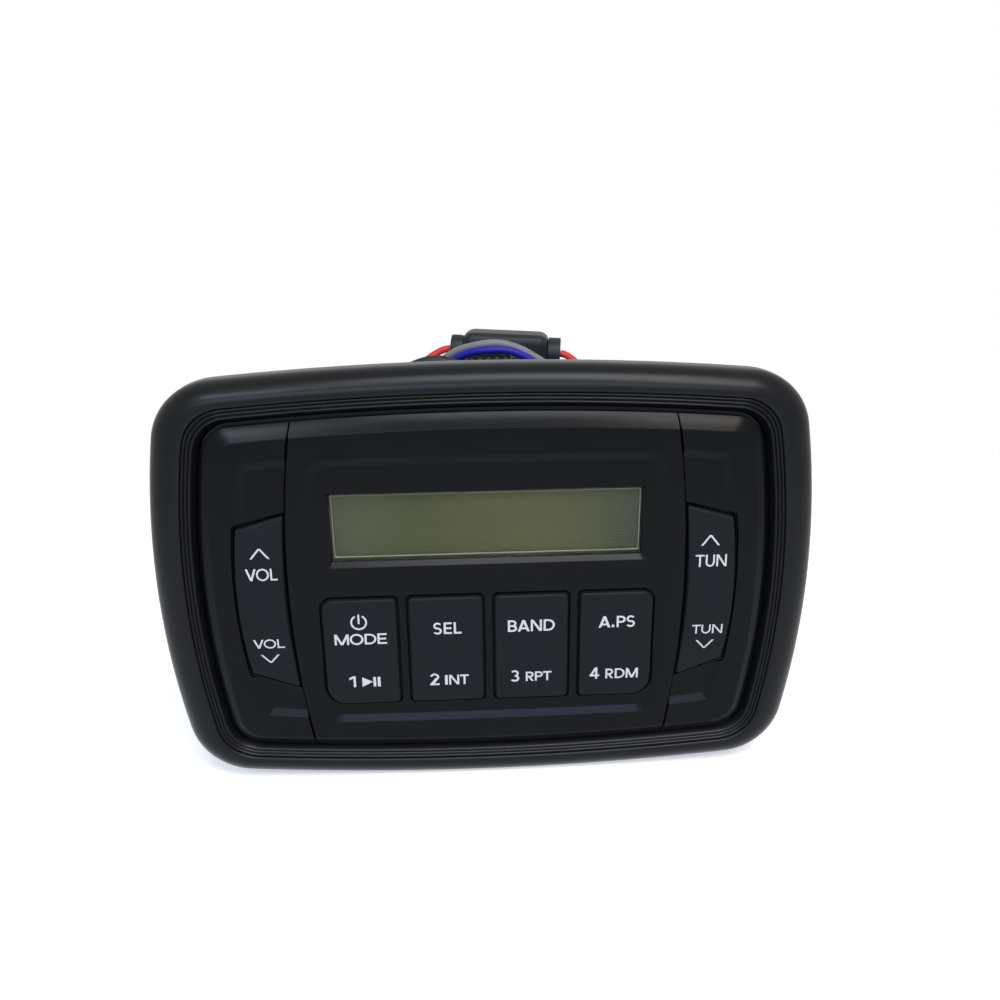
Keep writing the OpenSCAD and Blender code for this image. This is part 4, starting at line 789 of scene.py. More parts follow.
# the rocker's outline: the seam inside, a bow outside, slanted ends, rounded corners
def rockerOutline(side, innerGap=None, corner=0.7, topPlay=0):
    def outline(inset):
        inner = inset - 0.1 if innerGap is None else innerGap
        across = inner / (wing["edgeAt"] - front["seamAt"])
        top, low = wing["holeTop"] - inset - topPlay, wing["holeLow"] + inset
        topIn, topOut = top - wing["holeSlant"] * across, top - wing["holeSlant"]
        lowIn, lowOut = low + wing["lowSlant"] * across, low + wing["lowSlant"]
        steps = wing["steps"]
        ends = [topIn + (lowIn - topIn) * i / steps for i in range(steps + 1)]
        outs = [lowOut + (topOut - lowOut) * i / steps for i in range(steps + 1)]
        loop = [Vector((seamEdge(z, inner), z)) for z in ends]
        loop += [Vector((rockerEdge(z, inset), z)) for z in outs]
        bend = max(0.15, corner - inset * 0.3)
        radii = ([bend] + [0] * (steps - 1) + [bend]) * 2
        return [Vector((side * p.x, p.y)) for p in roundedLine(loop, radii, 5, True)]
    return outline


for side, name, node in ((-1, "leftWing", "left_wing"), (1, "rightWing", "right_wing")):
    blank = carved(name + "Blank", frontIsland(), [loftMesh("side", ringsOf(wingRegion(side), softFront))],
                   "INTERSECT")
    pocket = slopedCut(pocketOutline(side), front["face"], front["recess"], front["recessSlope"])
    opening = straightCut(rockerOutline(side, wing["holeInner"]), front["recess"], front["cutTo"], 0.25)
    bossX, bossZ = boss["wing"]
    parts = [carved(name, blank, [pocket, opening])]
    parts += bossTubes([(bossX * side, bossZ * sz) for sz in (-1, 1)])
    addPiece(name, joined(name, parts), finish["satinAbs"], replaced=[node])
print("wings made")

# keys
key = {"gap": 0.45, "face": 12.1, "crown": 0.1, "soft": 0.7, "softSteps": 8, "lipOut": -0.7, "lipFront": 9.7,
       "back": 8.9, "shares": (0.93, 0.84, 0.72, 0.56, 0.38, 0.2, 0.08), "names": [
           ("modeKey", "mode_key"), ("selectKey", "select_key"), ("bandKey", "band_key"),
           ("scanKey", "scan_key")]}


def keyDepth(i, x, z):
    half, tall = keyHole["wide"] / 2, (keyHole["high"] - keyHole["low"]) / 2
    u = (x - (i - 1.5) * keyHole["pitch"]) / half
    v = (z - (keyHole["high"] + keyHole["low"]) / 2) / tall
    return key["face"] - key["crown"] * (0.6 * u * u + 0.4 * v * v)


# a button's rounded front edge and its crowned face, ring by ring in to the middle
def crownedRings(outline, button, depthAt, middle):
    rings = []
    for k in range(button["softSteps"] + 1):
        t = math.pi / 2 * k / button["softSteps"]
        ring = outline(button["gap"] + button["soft"] * (1 - math.cos(t)))
        rings.append([(p.x, -(depthAt(p.x, p.y) - button["soft"] * (1 - math.sin(t))), p.y) for p in ring])
    edge = outline(button["gap"] + button["soft"])
    for share in button["shares"]:
        ring = [middle + (p - middle) * share for p in edge]
        rings.append([(p.x, -depthAt(p.x, p.y), p.y) for p in ring])
    return rings


for i, (name, node) in enumerate(key["names"]):
    outline = keyOutline(i, 10)
    middle = Vector(((i - 1.5) * keyHole["pitch"], (keyHole["high"] + keyHole["low"]) / 2))
    lip = [(key["lipOut"], key["back"]), (key["lipOut"], key["lipFront"]), (key["gap"], key["lipFront"])]
    rings = ringsOf(outline, lip) + crownedRings(outline, key, lambda x, z: keyDepth(i, x, z), middle)
    addPiece(name, loftMesh(name, rings), finish["keySilicone"], body=node, replaced=[node],
             sharpAt=50, even=False)
print("keys made")

# rockers
rocker = {"middle": -2.9, "middleX": 53.2, "crownR": 170, "crownAt": 13.1, "gap": 0.5, "topPlay": 0.22,
          "soft": 0.55, "softSteps": 7, "shares": (0.92, 0.8, 0.65, 0.48, 0.3, 0.12), "back": 9.4,
          "pivotAt": 7.2, "pinR": 0.85, "barrelR": 2, "barrelSoft": 0.15, "barrelFrom": 50.8,
          "barrelTo": 56.6, "webHalf": 1, "webFront": 9.6, "webBack": 8.4, "pegX": 53.7, "pegAt": 16,
          "pegR": 1.4, "pegTip": 0.9, "pegEnd": 8.06, "pegLong": 1.6}


def rockerDepth(z):
    rise = math.sqrt(rocker["crownR"] ** 2 - (z - rocker["middle"]) ** 2)
    return rocker["crownAt"] - rocker["crownR"] + rise


barrelLong = rocker["barrelTo"] - rocker["barrelFrom"]
barrelEnd = rocker["barrelR"] - rocker["barrelSoft"]
barrelProfile = [(rocker["pinR"], 0), (barrelEnd, 0), (rocker["barrelR"], rocker["barrelSoft"]),
                 (rocker["barrelR"], barrelLong - rocker["barrelSoft"]), (barrelEnd, barrelLong),
                 (rocker["pinR"], barrelLong)]
pegProfile = [(rocker["pegTip"], 0), (rocker["pegR"], 0.4), (rocker["pegR"], rocker["pegLong"])]
for side, name, node in ((-1, "volumeRocker", "volume_rocker"), (1, "tuningRocker", "tuning_rocker")):
    outline = rockerOutline(side, topPlay=rocker["topPlay"])
    middle = Vector((side * rocker["middleX"], rocker["middle"]))
    rings = ringsOf(outline, [(rocker["gap"], rocker["back"])])
    parts = [loftMesh(name, rings + crownedRings(outline, rocker, lambda x, z: rockerDepth(z), middle))]
    pivot = (side * rocker["barrelFrom"], -rocker["pivotAt"], rocker["middle"])
    parts.append(loftMesh("barrel", turnedRings(barrelProfile, pivot, (side, 0, 0)), True))
    webX = sorted((side * rocker["barrelFrom"], side * rocker["barrelTo"]))
    parts.append(roundedBlock("web", (webX[0], -rocker["webFront"], rocker["middle"] - rocker["webHalf"]),
                              (webX[1], -rocker["webBack"], rocker["middle"] + rocker["webHalf"]), 0.1, 1))
    for sz in (-1, 1):
        tip = (side * rocker["pegX"], -rocker["pegEnd"], rocker["middle"] + sz * rocker["pegAt"])
        parts.append(loftMesh("peg", turnedRings(pegProfile, tip, (0, -1, 0), 32)))
    addPiece(name, joined(name, parts), finish["keySilicone"], body=node, replaced=[node],
             sharpAt=50, even=False)
print("rockers made")


# lettering: strokes with butt ends, each letter drawn in its own box in mm
def bar(x0, z0, x1, z1):
    return [[(x0, z0), (x1, z0), (x1, z1), (x0, z1)]]


# a diagonal whose ends are cut level
def slant(lowX, highX, lowZ, highZ, wide):
    return [[(lowX, lowZ), (lowX + wide, lowZ), (highX + wide, highZ), (highX, highZ)]]


# a ribbon along an ellipse, thinner over the top and the foot
def bow(x, z, rx, rz, wide, thin, start, end, steps=22):
    turns = [math.radians(start + (end - start) * i / steps) for i in range(steps + 1)]
    outer = [(x + rx * math.cos(t), z + rz * math.sin(t)) for t in turns]
    inner = [(x + (rx - wide) * math.cos(t), z + (rz - thin) * math.sin(t)) for t in turns]
    return [[inner[i], outer[i], outer[i + 1], inner[i + 1]] for i in range(steps)]


def strokes(letter, W, H, w):
    t, s = 0.9 * w, 1.2 * w  # level strokes are thinner, and diagonals wider when cut level
    stem = bar(0, 0, w, H)
    half = (H + t) / 4
    vee = slant((W - s) / 2, 0, 0, H, s) + slant((W - s) / 2, W - s, 0, H, s)
    tent = slant(0, (W - s) / 2, 0, H, s) + slant(W - s, (W - s) / 2, 0, H, s)
    shapes = {
        "I": lambda: bar(0, 0, W, H),
        "L": lambda: stem + bar(0, 0, W, t),
        "T": lambda: bar((W - w) / 2, 0, (W + w) / 2, H) + bar(0, H - t, W, H),
        "E": lambda: (stem + bar(0, 0, W, t) + bar(0, H - t, W, H)
                      + bar(0, (H - t) / 2, 0.92 * W, (H + t) / 2)),
        "V": lambda: vee,
        "A": lambda: tent + bar(0.2 * W, 0.2 * H, 0.8 * W, 0.2 * H + t),
        "N": lambda: stem + bar(W - w, 0, W, H) + slant(W - s, 0, 0, H, s),
        "M": lambda: stem + bar(W - w, 0, W, H) + vee,
        "O": lambda: bow(W / 2, H / 2, W / 2, H / 2, w, t, 0, 360, 44),
        "U": lambda: (bar(0, W / 2, w, H) + bar(W - w, W / 2, W, H)
                      + bow(W / 2, W / 2, W / 2, W / 2, w, t, 180, 360)),
        "D": lambda: (stem + bar(0, 0, 0.4 * W, t) + bar(0, H - t, 0.4 * W, H)
                      + bow(0.4 * W, H / 2, 0.6 * W, H / 2, w, t, -90, 90)),
        "P": lambda: (stem + bar(0, H - t, 0.5 * W, H) + bar(0, 0.38 * H, 0.5 * W, 0.38 * H + t)
                      + bow(0.5 * W, 0.69 * H, 0.5 * W, 0.31 * H, w, t, -90, 90)),
        "R": lambda: (stem + bar(0, H - t, 0.5 * W, H) + bar(0, 0.38 * H, 0.5 * W, 0.38 * H + t)
                      + bow(0.5 * W, 0.69 * H, 0.47 * W, 0.31 * H, w, t, -90, 90)
                      + slant(W - s, 0.32 * W, 0, 0.42 * H, s)),
        "B": lambda: (stem + bar(0, H - t, 0.5 * W, H) + bar(0, 0, 0.5 * W, t)
                      + bar(0, (H - t) / 2, 0.5 * W, (H + t) / 2)
                      + bow(0.5 * W, H - half, 0.44 * W, half, w, t, -90, 90)
                      + bow(0.5 * W, half, 0.5 * W, half, w, t, -90, 90)),
        "S": lambda: (bow(W / 2, H - half, 0.46 * W, half, w, t, 28, 270)
                      + bow(W / 2, half, W / 2, half, w, t, -152, 90)),
        "1": lambda: (bar(W - w, 0, W, H)
                      + [[(0, 0.66 * H), (W - w, 0.8 * H), (W - w, H), (0, 0.66 * H + 1.1 * t)]]),
        "2": lambda: (bow(W / 2, 0.7 * H, 0.49 * W, 0.3 * H, w, t, -28, 165) + bar(0, 0, W, t)
                      + slant(0, 0.98 * W - 1.5 * s, 0.5 * t, 0.62 * H, 1.5 * s)),
        "3": lambda: (bow(0.46 * W, H - half, 0.46 * W, half, w, t, -90, 150)
                      + bow(0.46 * W, half, 0.52 * W, half, w, t, -150, 90)),
        "4": lambda: (bar(0.58 * W, 0, 0.58 * W + w, H) + bar(0, 0.22 * H, W, 0.22 * H + t)
                      + slant(0, 0.58 * W + w - s, 0.22 * H + t / 2, H, s)),
        ".": lambda: [[(W / 2 + W / 2 * math.cos(a), H / 2 + H / 2 * math.sin(a))
                       for a in [math.pi * k / 10 for k in range(20)]]],
        "power": lambda: (bow(W / 2, W / 2, W / 2, W / 2, w, w, 118, 422, 40)
                          + bar((W - w) / 2, 0.4 * H, (W + w) / 2, H)),
        "play": lambda: [[(0, 0), (W, H / 2), (0, H)]],
        "up": lambda: tent,
        "down": lambda: vee,
    }
    return shapes[letter]()


# all strokes of a legend made one flat shape, lying on the key's face and a hair proud of it
ink = {"proud": 0.03, "sunk": 0.03, "weight": 0.84, "merge": 0.0002}


def legendMesh(name, marks, depthAt):
    points, polygons = [], []
    for letter, x0, x1, z0, z1, weight in marks:
        for polygon in strokes(letter, x1 - x0, z1 - z0, ink["weight"] * weight):
            polygons.append(list(range(len(points), len(points) + len(polygon))))
            points += [Vector((x0 + x, z0 + z)) for x, z in polygon]
    flat, _, faces, _, _, owners = delaunay_2d_cdt(points, [], polygons, 1, 1e-4)
    faces = [tuple(face) for face, owner in zip(faces, owners) if owner]
    edges = [(a, b) for face in faces for a, b in zip(face, face[1:] + face[:1])]
    paired = set(edges)
    rim = [(a, b) for a, b in edges if (b, a) not in paired]
    count = len(flat)
    solid = [(p.x, -(depthAt(p.x, p.y) + lift), p.y) for lift in (ink["proud"], -ink["sunk"]) for p in flat]
    walls = [(a, b, b + count, a + count) for a, b in rim]
    under = [tuple(i + count for i in reversed(face)) for face in faces]
    mesh = bpy.data.meshes.new(name)
    mesh.from_pydata([Vector(p) * mm for p in solid], [], faces + under + walls)
    tidyMesh(mesh, ink["merge"])
    return mesh


# each mark: what it is, left, right, foot, top and stroke width
legends = {
    "modeLegend": ("mode_key", [
        ("power", -33.6, -29.56, -10.0, -5.9, 0.52), ("M", -37.72, -34.22, -13.97, -11.1, 0.6),
        ("O", -34.03, -30.69, -14.03, -11.04, 0.6), ("D", -30.42, -27.56, -13.97, -11.1, 0.6),
        ("E", -27.28, -25.0, -13.97, -11.1, 0.6), ("1", -34.86, -33.25, -25.78, -22.7, 0.68),
        ("play", -31.67, -29.05, -25.75, -23.1, 0.6), ("I", -28.94, -28.28, -25.78, -23.1, 0.6),
        ("I", -27.86, -27.17, -25.78, -23.1, 0.6)]),
    "selectLegend": ("select_key", [
        ("S", -13.67, -11.53, -11.9, -8.7, 0.6), ("E", -11.06, -9.08, -11.84, -8.74, 0.62),
        ("L", -8.61, -6.75, -11.84, -8.74, 0.62), ("2", -14.92, -12.56, -26.0, -22.75, 0.6),
        ("I", -11.17, -10.5, -25.98, -23.28, 0.6), ("N", -10.14, -7.64, -25.98, -23.28, 0.58),
        ("T", -7.42, -5.22, -25.98, -23.28, 0.58)]),
    "bandLegend": ("band_key", [
        ("B", 4.64, 6.89, -11.84, -8.74, 0.62), ("A", 7.03, 10.0, -11.84, -8.74, 0.62),
        ("N", 10.28, 13.0, -11.84, -8.74, 0.62), ("D", 13.42, 16.19, -11.84, -8.74, 0.62),
        ("3", 5.28, 7.42, -25.8, -22.58, 0.6), ("R", 9.03, 11.03, -25.74, -23.12, 0.56),
        ("P", 11.3, 13.28, -25.74, -23.12, 0.56), ("T", 13.33, 15.47, -25.74, -23.12, 0.56)]),
    "scanLegend": ("scan_key", [
        ("A", 27.03, 29.94, -11.48, -8.44, 0.62), (".", 30.22, 30.97, -11.5, -10.75, 0.6),
        ("P", 31.47, 33.67, -11.48, -8.44, 0.62), ("S", 33.83, 36.03, -11.53, -8.4, 0.6),
        ("4", 25.08, 27.5, -25.78, -22.58, 0.62), ("R", 29.08, 31.06, -25.78, -23.04, 0.56),
        ("D", 31.44, 33.94, -25.78, -23.04, 0.56), ("M", 34.22, 37.3, -25.78, -23.04, 0.56)]),
    "volumeLegend": ("volume_rocker", [
        ("up", -55.9, -51.2, 9.6, 12.1, 0.52), ("V", -57.2, -54.66, 4.2, 7.15, 0.5),
        ("O", -54.7, -51.7, 4.14, 7.2, 0.5), ("L", -51.4, -49.7, 4.2, 7.15, 0.5),
        ("V", -57.1, -54.6, -13.8, -11.38, 0.46), ("O", -54.64, -51.7, -13.86, -11.33, 0.46),
        ("L", -51.4, -49.64, -13.8, -11.38, 0.46), ("down", -55.7, -51.15, -17.95, -15.65, 0.5)]),
    "tuningLegend": ("tuning_rocker", [
        ("up", 51.1, 55.65, 9.8, 12.35, 0.52), ("T", 49.9, 52.1, 4.42, 7.45, 0.5),
        ("U", 52.4, 54.6, 4.4, 7.45, 0.5), ("N", 55.0, 57.5, 4.42, 7.45, 0.5),
        ("T", 50.15, 52.3, -13.68, -11.18, 0.46), ("U", 52.5, 54.8, -13.7, -11.18, 0.46),
        ("N", 55.2, 57.75, -13.68, -11.18, 0.46), ("down", 51.3, 55.85, -17.85, -15.55, 0.5)]),
}
for i, (name, (body, marks)) in enumerate(legends.items()):
    depthAt = (lambda x, z, i=i: keyDepth(i, x, z)) if i < 4 else (lambda x, z: rockerDepth(z))
    addPiece(name, legendMesh(name, marks, depthAt), finish["whiteInk"], body=body, sharpAt=40, even=False)
print("legends made:", len(legends))


# geometry node trees: named inputs, and an end that gives real geometry in its finish
def startTree(name, inputs):
    tree = bpy.data.node_groups.new(name, "GeometryNodeTree")
    tree.interface.new_socket("Geometry", in_out="OUTPUT", socket_type="NodeSocketGeometry")
    for label, kind in inputs:
        tree.interface.new_socket(label, in_out="INPUT", socket_type="NodeSocket" + kind)
    return tree, addNode(tree, "NodeGroupInput").outputs


def endTree(tree, geometry, material):
    real = addNode(tree, "GeometryNodeRealizeInstances", links={0: geometry})
    dressed = addNode(tree, "GeometryNodeSetMaterial", links={0: real.outputs[0], "Material": material})
    addNode(tree, "NodeGroupOutput", links={0: dressed.outputs[0]})


# a tree's result as a plain mesh, grown on points given in mm
def grownMesh(name, tree, values, points=()):
    seeds = bpy.data.meshes.new(name)
    seeds.from_pydata([Vector(p) * mm for p in points], [], [])
    holder = looseObject(name, seeds)
    grow = holder.modifiers.new("grow", "NODES")
    grow.node_group = tree
    for item in tree.interface.items_tree:
        if item.in_out == "INPUT" and item.name in values:
            grow[item.identifier] = values[item.name]
    result = bakedMesh(holder)
    bpy.data.objects.remove(holder)
    return result


# pan-head screws with a cross recess and a rolled thread, each turned by chance from a fixed seed
def screwNodes():
    tree, given = startTree("panHeadScrews", [
        ("Places", "Geometry"), ("Facing", "Vector"), ("Head Radius", "Float"), ("Head Height", "Float"),
        ("Shank Radius", "Float"), ("Shank Length", "Float"), ("Thread Turns", "Int"), ("Turn Seed", "Int"),
        ("Finish", "Material")])
    spot = addNode(tree, "GeometryNodeInputPosition").outputs[0]
    part = addNode(tree, "ShaderNodeSeparateXYZ", links={0: spot}).outputs
    # sums on a point's place: each has its result, its operation and two terms, numbers or earlier results.
    # The head is a unit disc, drawn in towards its top and domed. The shank is a unit rod whose rows go in
    # and out as a thread, with its end drawn to a point
    terms = {"x": part[0], "y": part[1], "z": part[2], "turns": given["Thread Turns"],
             "headTall": given["Head Height"], "shankLong": given["Shank Length"]}
    for result, operation, first, second in (
            ("rise", "ADD", "z", 0.5), ("xx", "MULTIPLY", "x", "x"), ("yy", "MULTIPLY", "y", "y"),
            ("outward", "ADD", "xx", "yy"), ("steep", "POWER", "rise", 3.0),
            ("taper", "MULTIPLY", "steep", 0.14), ("drawn", "SUBTRACT", 1.0, "taper"),
            ("headX", "MULTIPLY", "x", "drawn"), ("headY", "MULTIPLY", "y", "drawn"),
            ("rim", "MULTIPLY", "rise", "outward"),
            ("fall", "MULTIPLY", "rim", 0.32), ("headZ", "SUBTRACT", "z", "fall"),
            ("headSeat", "MULTIPLY", "headTall", 0.5), ("rows", "MULTIPLY", "turns", 2.0),
            ("climb", "MULTIPLY", "rise", "turns"), ("halfTurns", "MULTIPLY", "climb", 2.0),
            ("wave", "PINGPONG", "halfTurns", 1.0), ("sharp", "MULTIPLY", "rise", 14.0),
            ("blunt", "ADD", "sharp", 0.3), ("point", "MINIMUM", 1.0, "blunt"),
            ("groove", "MULTIPLY", "wave", 0.16), ("crest", "SUBTRACT", 1.0, "groove"),
            ("slim", "MULTIPLY", "point", "crest"), ("shankX", "MULTIPLY", "x", "slim"),
            ("shankY", "MULTIPLY", "y", "slim"), ("shankSeat", "MULTIPLY", "shankLong", -0.5)):
        pair = {0: first, 1: second}
        settings = {i: term for i, term in pair.items() if not isinstance(term, str)}
        links = {i: terms[term] for i, term in pair.items() if isinstance(term, str)}
        total = addNode(tree, "ShaderNodeMath", dict(settings, operation=operation), links)
        terms[result] = total.outputs[0]
    disc = addNode(tree, "GeometryNodeMeshCylinder", {
        "Vertices": 32, "Side Segments": 5, "Fill Segments": 3, "Radius": 1.0, "Depth": 1.0})
    domed = addNode(tree, "ShaderNodeCombineXYZ", links={
        0: terms["headX"], 1: terms["headY"], 2: terms["headZ"]})
    shaped = addNode(tree, "GeometryNodeSetPosition", links={
        0: disc.outputs[0], "Position": domed.outputs[0]})
    cross = addNode(tree, "GeometryNodeMeshBoolean", {"operation": "DIFFERENCE", "solver": "EXACT"},
                    {"Mesh 1": shaped.outputs[0]})
    for size in ((1.1, 0.2, 0.9), (0.2, 1.1, 0.9)):
        blade = addNode(tree, "GeometryNodeMeshCube", {"Size": size})
        raised = addNode(tree, "GeometryNodeTransform", {"Translation": (0, 0, 0.5)}, {0: blade.outputs[0]})
        tree.links.new(raised.outputs[0], cross.inputs["Mesh 2"])
    wide = addNode(tree, "ShaderNodeCombineXYZ", links={
        0: given["Head Radius"], 1: given["Head Radius"], 2: given["Head Height"]})
    seat = addNode(tree, "ShaderNodeCombineXYZ", links={2: terms["headSeat"]})
    head = addNode(tree, "GeometryNodeTransform", links={
        0: cross.outputs[0], "Translation": seat.outputs[0], "Scale": wide.outputs[0]})
    blank = addNode(tree, "GeometryNodeMeshCylinder", {"Vertices": 20, "Radius": 1.0, "Depth": 1.0},
                    {"Side Segments": terms["rows"]})
    rolled = addNode(tree, "ShaderNodeCombineXYZ", links={
        0: terms["shankX"], 1: terms["shankY"], 2: part[2]})
    threaded = addNode(tree, "GeometryNodeSetPosition", links={
        0: blank.outputs[0], "Position": rolled.outputs[0]})
    long = addNode(tree, "ShaderNodeCombineXYZ", links={
        0: given["Shank Radius"], 1: given["Shank Radius"], 2: given["Shank Length"]})
    below = addNode(tree, "ShaderNodeCombineXYZ", links={2: terms["shankSeat"]})
    shank = addNode(tree, "GeometryNodeTransform", links={
        0: threaded.outputs[0], "Translation": below.outputs[0], "Scale": long.outputs[0]})
    screw = addNode(tree, "GeometryNodeJoinGeometry", links={0: head.outputs[0]})
    tree.links.new(shank.outputs[0], screw.inputs[0])
    facing = addNode(tree, "FunctionNodeAlignRotationToVector", {"axis": "Z"}, {"Vector": given["Facing"]})
    placed = addNode(tree, "GeometryNodeInstanceOnPoints", links={
        "Points": given["Places"], "Instance": screw.outputs[0], "Rotation": facing.outputs[0]})
    chance = addNode(tree, "FunctionNodeRandomValue", {"data_type": "FLOAT", 2: 0.0, 3: math.pi},
                     {"Seed": given["Turn Seed"]})
    spin = addNode(tree, "ShaderNodeCombineXYZ", links={2: chance.outputs[1]})
    turned = addNode(tree, "GeometryNodeRotateInstances", {"Local Space": True},
                     {0: placed.outputs[0], "Rotation": spin.outputs[0]})
    endTree(tree, turned.outputs[0], given["Finish"])
    return tree


screwTree = screwNodes()
rearWall, sinkFace = 56, 58.4  # the housing's rear face, and the heat sink's plate on it
screwAt = {"case": (56.5, 35), "sink": (38, 18), "board": 47, "boardRows": (11, 45)}
caseX, caseZ = screwAt["case"]
sinkX, sinkZ = screwAt["sink"]
# places are where each shank leaves its head
screwSets = {
    "fasciaScrews": {
        "node": "fascia_screws", "facing": (0, 1, 0), "headR": 2.4, "headT": 1.4, "shankR": 0.9,
        "shankL": 5.5, "turns": 7,
        "places": [(sx * x, -1.6, sz * z) for sx, sz in fourCorners
                   for x, z in (boss["centre"], boss["wing"])]},
    "caseScrews": {
        "node": "case_screws", "facing": (0, 1, 0), "headR": 2.6, "headT": 1.8, "shankR": 1.5,
        "shankL": 61.4, "turns": 60,
        "places": [(sx * caseX, rearWall, sz * caseZ) for sx, sz in fourCorners]},
    "heatSinkScrews": {
        "node": "heat_sink_screws", "facing": (0, 1, 0), "headR": 2.4, "headT": 1.5, "shankR": 1.2,
        "shankL": 7, "turns": 9,
        "places": [(sx * sinkX, sinkFace, sz * sinkZ) for sx, sz in fourCorners]},
    "boardScrews": {
        "node": "main_board_screws", "facing": (0, 0, 1), "headR": 2.4, "headT": 1.5, "shankR": 1.2,
        "shankL": 7.6, "turns": 9,
        "places": [(sx * screwAt["board"], y, -16) for sx in (-1, 1) for y in screwAt["boardRows"]]},
}
firstSeed = 11
for seed, (name, kind) in enumerate(screwSets.items(), firstSeed):
    mesh = grownMesh(name, screwTree, {
        "Facing": kind["facing"], "Head Radius": kind["headR"] * mm, "Head Height": kind["headT"] * mm,
        "Shank Radius": kind["shankR"] * mm, "Shank Length": kind["shankL"] * mm,
        "Thread Turns": kind["turns"], "Turn Seed": seed,
        "Finish": finish["stainlessSteel"]}, kind["places"])
    addPiece(name, mesh, finish["stainlessSteel"], replaced=[kind["node"]], even=False)
print("screws made:", len(screwSets))

# rear housing: a drawn shell with a stepped lip, its posts, the heat sink's window and the leads' hole
housing = {"halfWide": 63, "halfHigh": 40, "corner": 6, "front": 0.8, "wall": 2.6, "lip": 4.2,
           "lipDeep": 0.3, "rearSoft": 1.5, "bossR": 3.4, "screwHole": 1.7, "postR": 3, "postHole": 1.2,
           "postFoot": -38.4, "postTop": -17.6, "padWide": 24.6, "padHigh": 18.6, "padZ": -4,
           "spigot": (12.2, 29), "spigotHole": 4.1}


def housingOutline(inset):
    x, z = housing["halfWide"] - inset, housing["halfHigh"] - inset
    return roundRect(-x, -z, x, z, [max(0.8, housing["corner"] - inset)] * 4, 10)


def tube(outer, hole, start, direction, length, sides=40, soft=0.3):
    profile = [(hole, 0), (outer - soft, 0), (outer, soft), (outer, length - soft), (outer - soft, length),
               (hole, length)]
    return loftMesh("tube", turnedRings(profile, start, direction, sides), True)


def rod(radius, start, direction, length, sides=40):
    return loftMesh("rod", turnedRings([(radius, 0), (radius, length)], start, direction, sides))


# from the inner floor out over the front edge, along the lip and round the rear edge
wall, floorAt, soft = housing["wall"], rearWall - housing["wall"], housing["rearSoft"]
profile = [(wall + 1.2, -floorAt), (wall + 0.35, -floorAt + 0.35), (wall, -floorAt + 1.2),
           (wall, -housing["front"]), (0.25, -housing["front"]), (0, -housing["front"] - 0.25),
           (0, -housing["lip"] + 0.3), (housing["lipDeep"], -housing["lip"]),
           (housing["lipDeep"], -housing["lip"] - 0.6), (0, -housing["lip"] - 0.9)]
for k in range(9):
    t = math.pi / 2 * k / 8
    profile.append((soft * (1 - math.cos(t)), -(rearWall - soft + soft * math.sin(t))))
shell = loftMesh("shell", ringsOf(housingOutline, profile))
cutFrom = 50
padLow, padTop = housing["padZ"] - housing["padHigh"] / 2, housing["padZ"] + housing["padHigh"] / 2
cutters = [roundedBlock("padWindow", (-housing["padWide"] / 2, cutFrom, padLow),
                        (housing["padWide"] / 2, 60, padTop), 0.3),
           rod(housing["spigotHole"], (*housing["spigot"], 36), (0, 0, 1), 6, 64)]
for sx, sz in fourCorners:
    cutters.append(rod(housing["screwHole"], (sx * caseX, cutFrom, sz * caseZ), (0, 1, 0), 8))
    cutters.append(rod(housing["postHole"], (sx * sinkX, cutFrom, sz * sinkZ), (0, 1, 0), 8))
parts = [carved("rearHousing", shell, cutters)]
for sx, sz in fourCorners:
    parts.append(tube(housing["bossR"], housing["screwHole"], (sx * caseX, housing["front"], sz * caseZ),
                      (0, 1, 0), floorAt - housing["front"] + 0.4))
    parts.append(tube(housing["postR"], housing["postHole"], (sx * sinkX, floorAt - 3, sz * sinkZ),
                      (0, 1, 0), 3.4))
for sx in (-1, 1):
    for y in screwAt["boardRows"]:
        foot = (sx * screwAt["board"], y, housing["postFoot"])
        parts.append(tube(housing["postR"], housing["postHole"], foot, (0, 0, 1),
                          housing["postTop"] - housing["postFoot"]))
addPiece("rearHousing", joined("rearHousing", parts), finish["filledNylon"], replaced=["rear_housing"])
print("housing made")


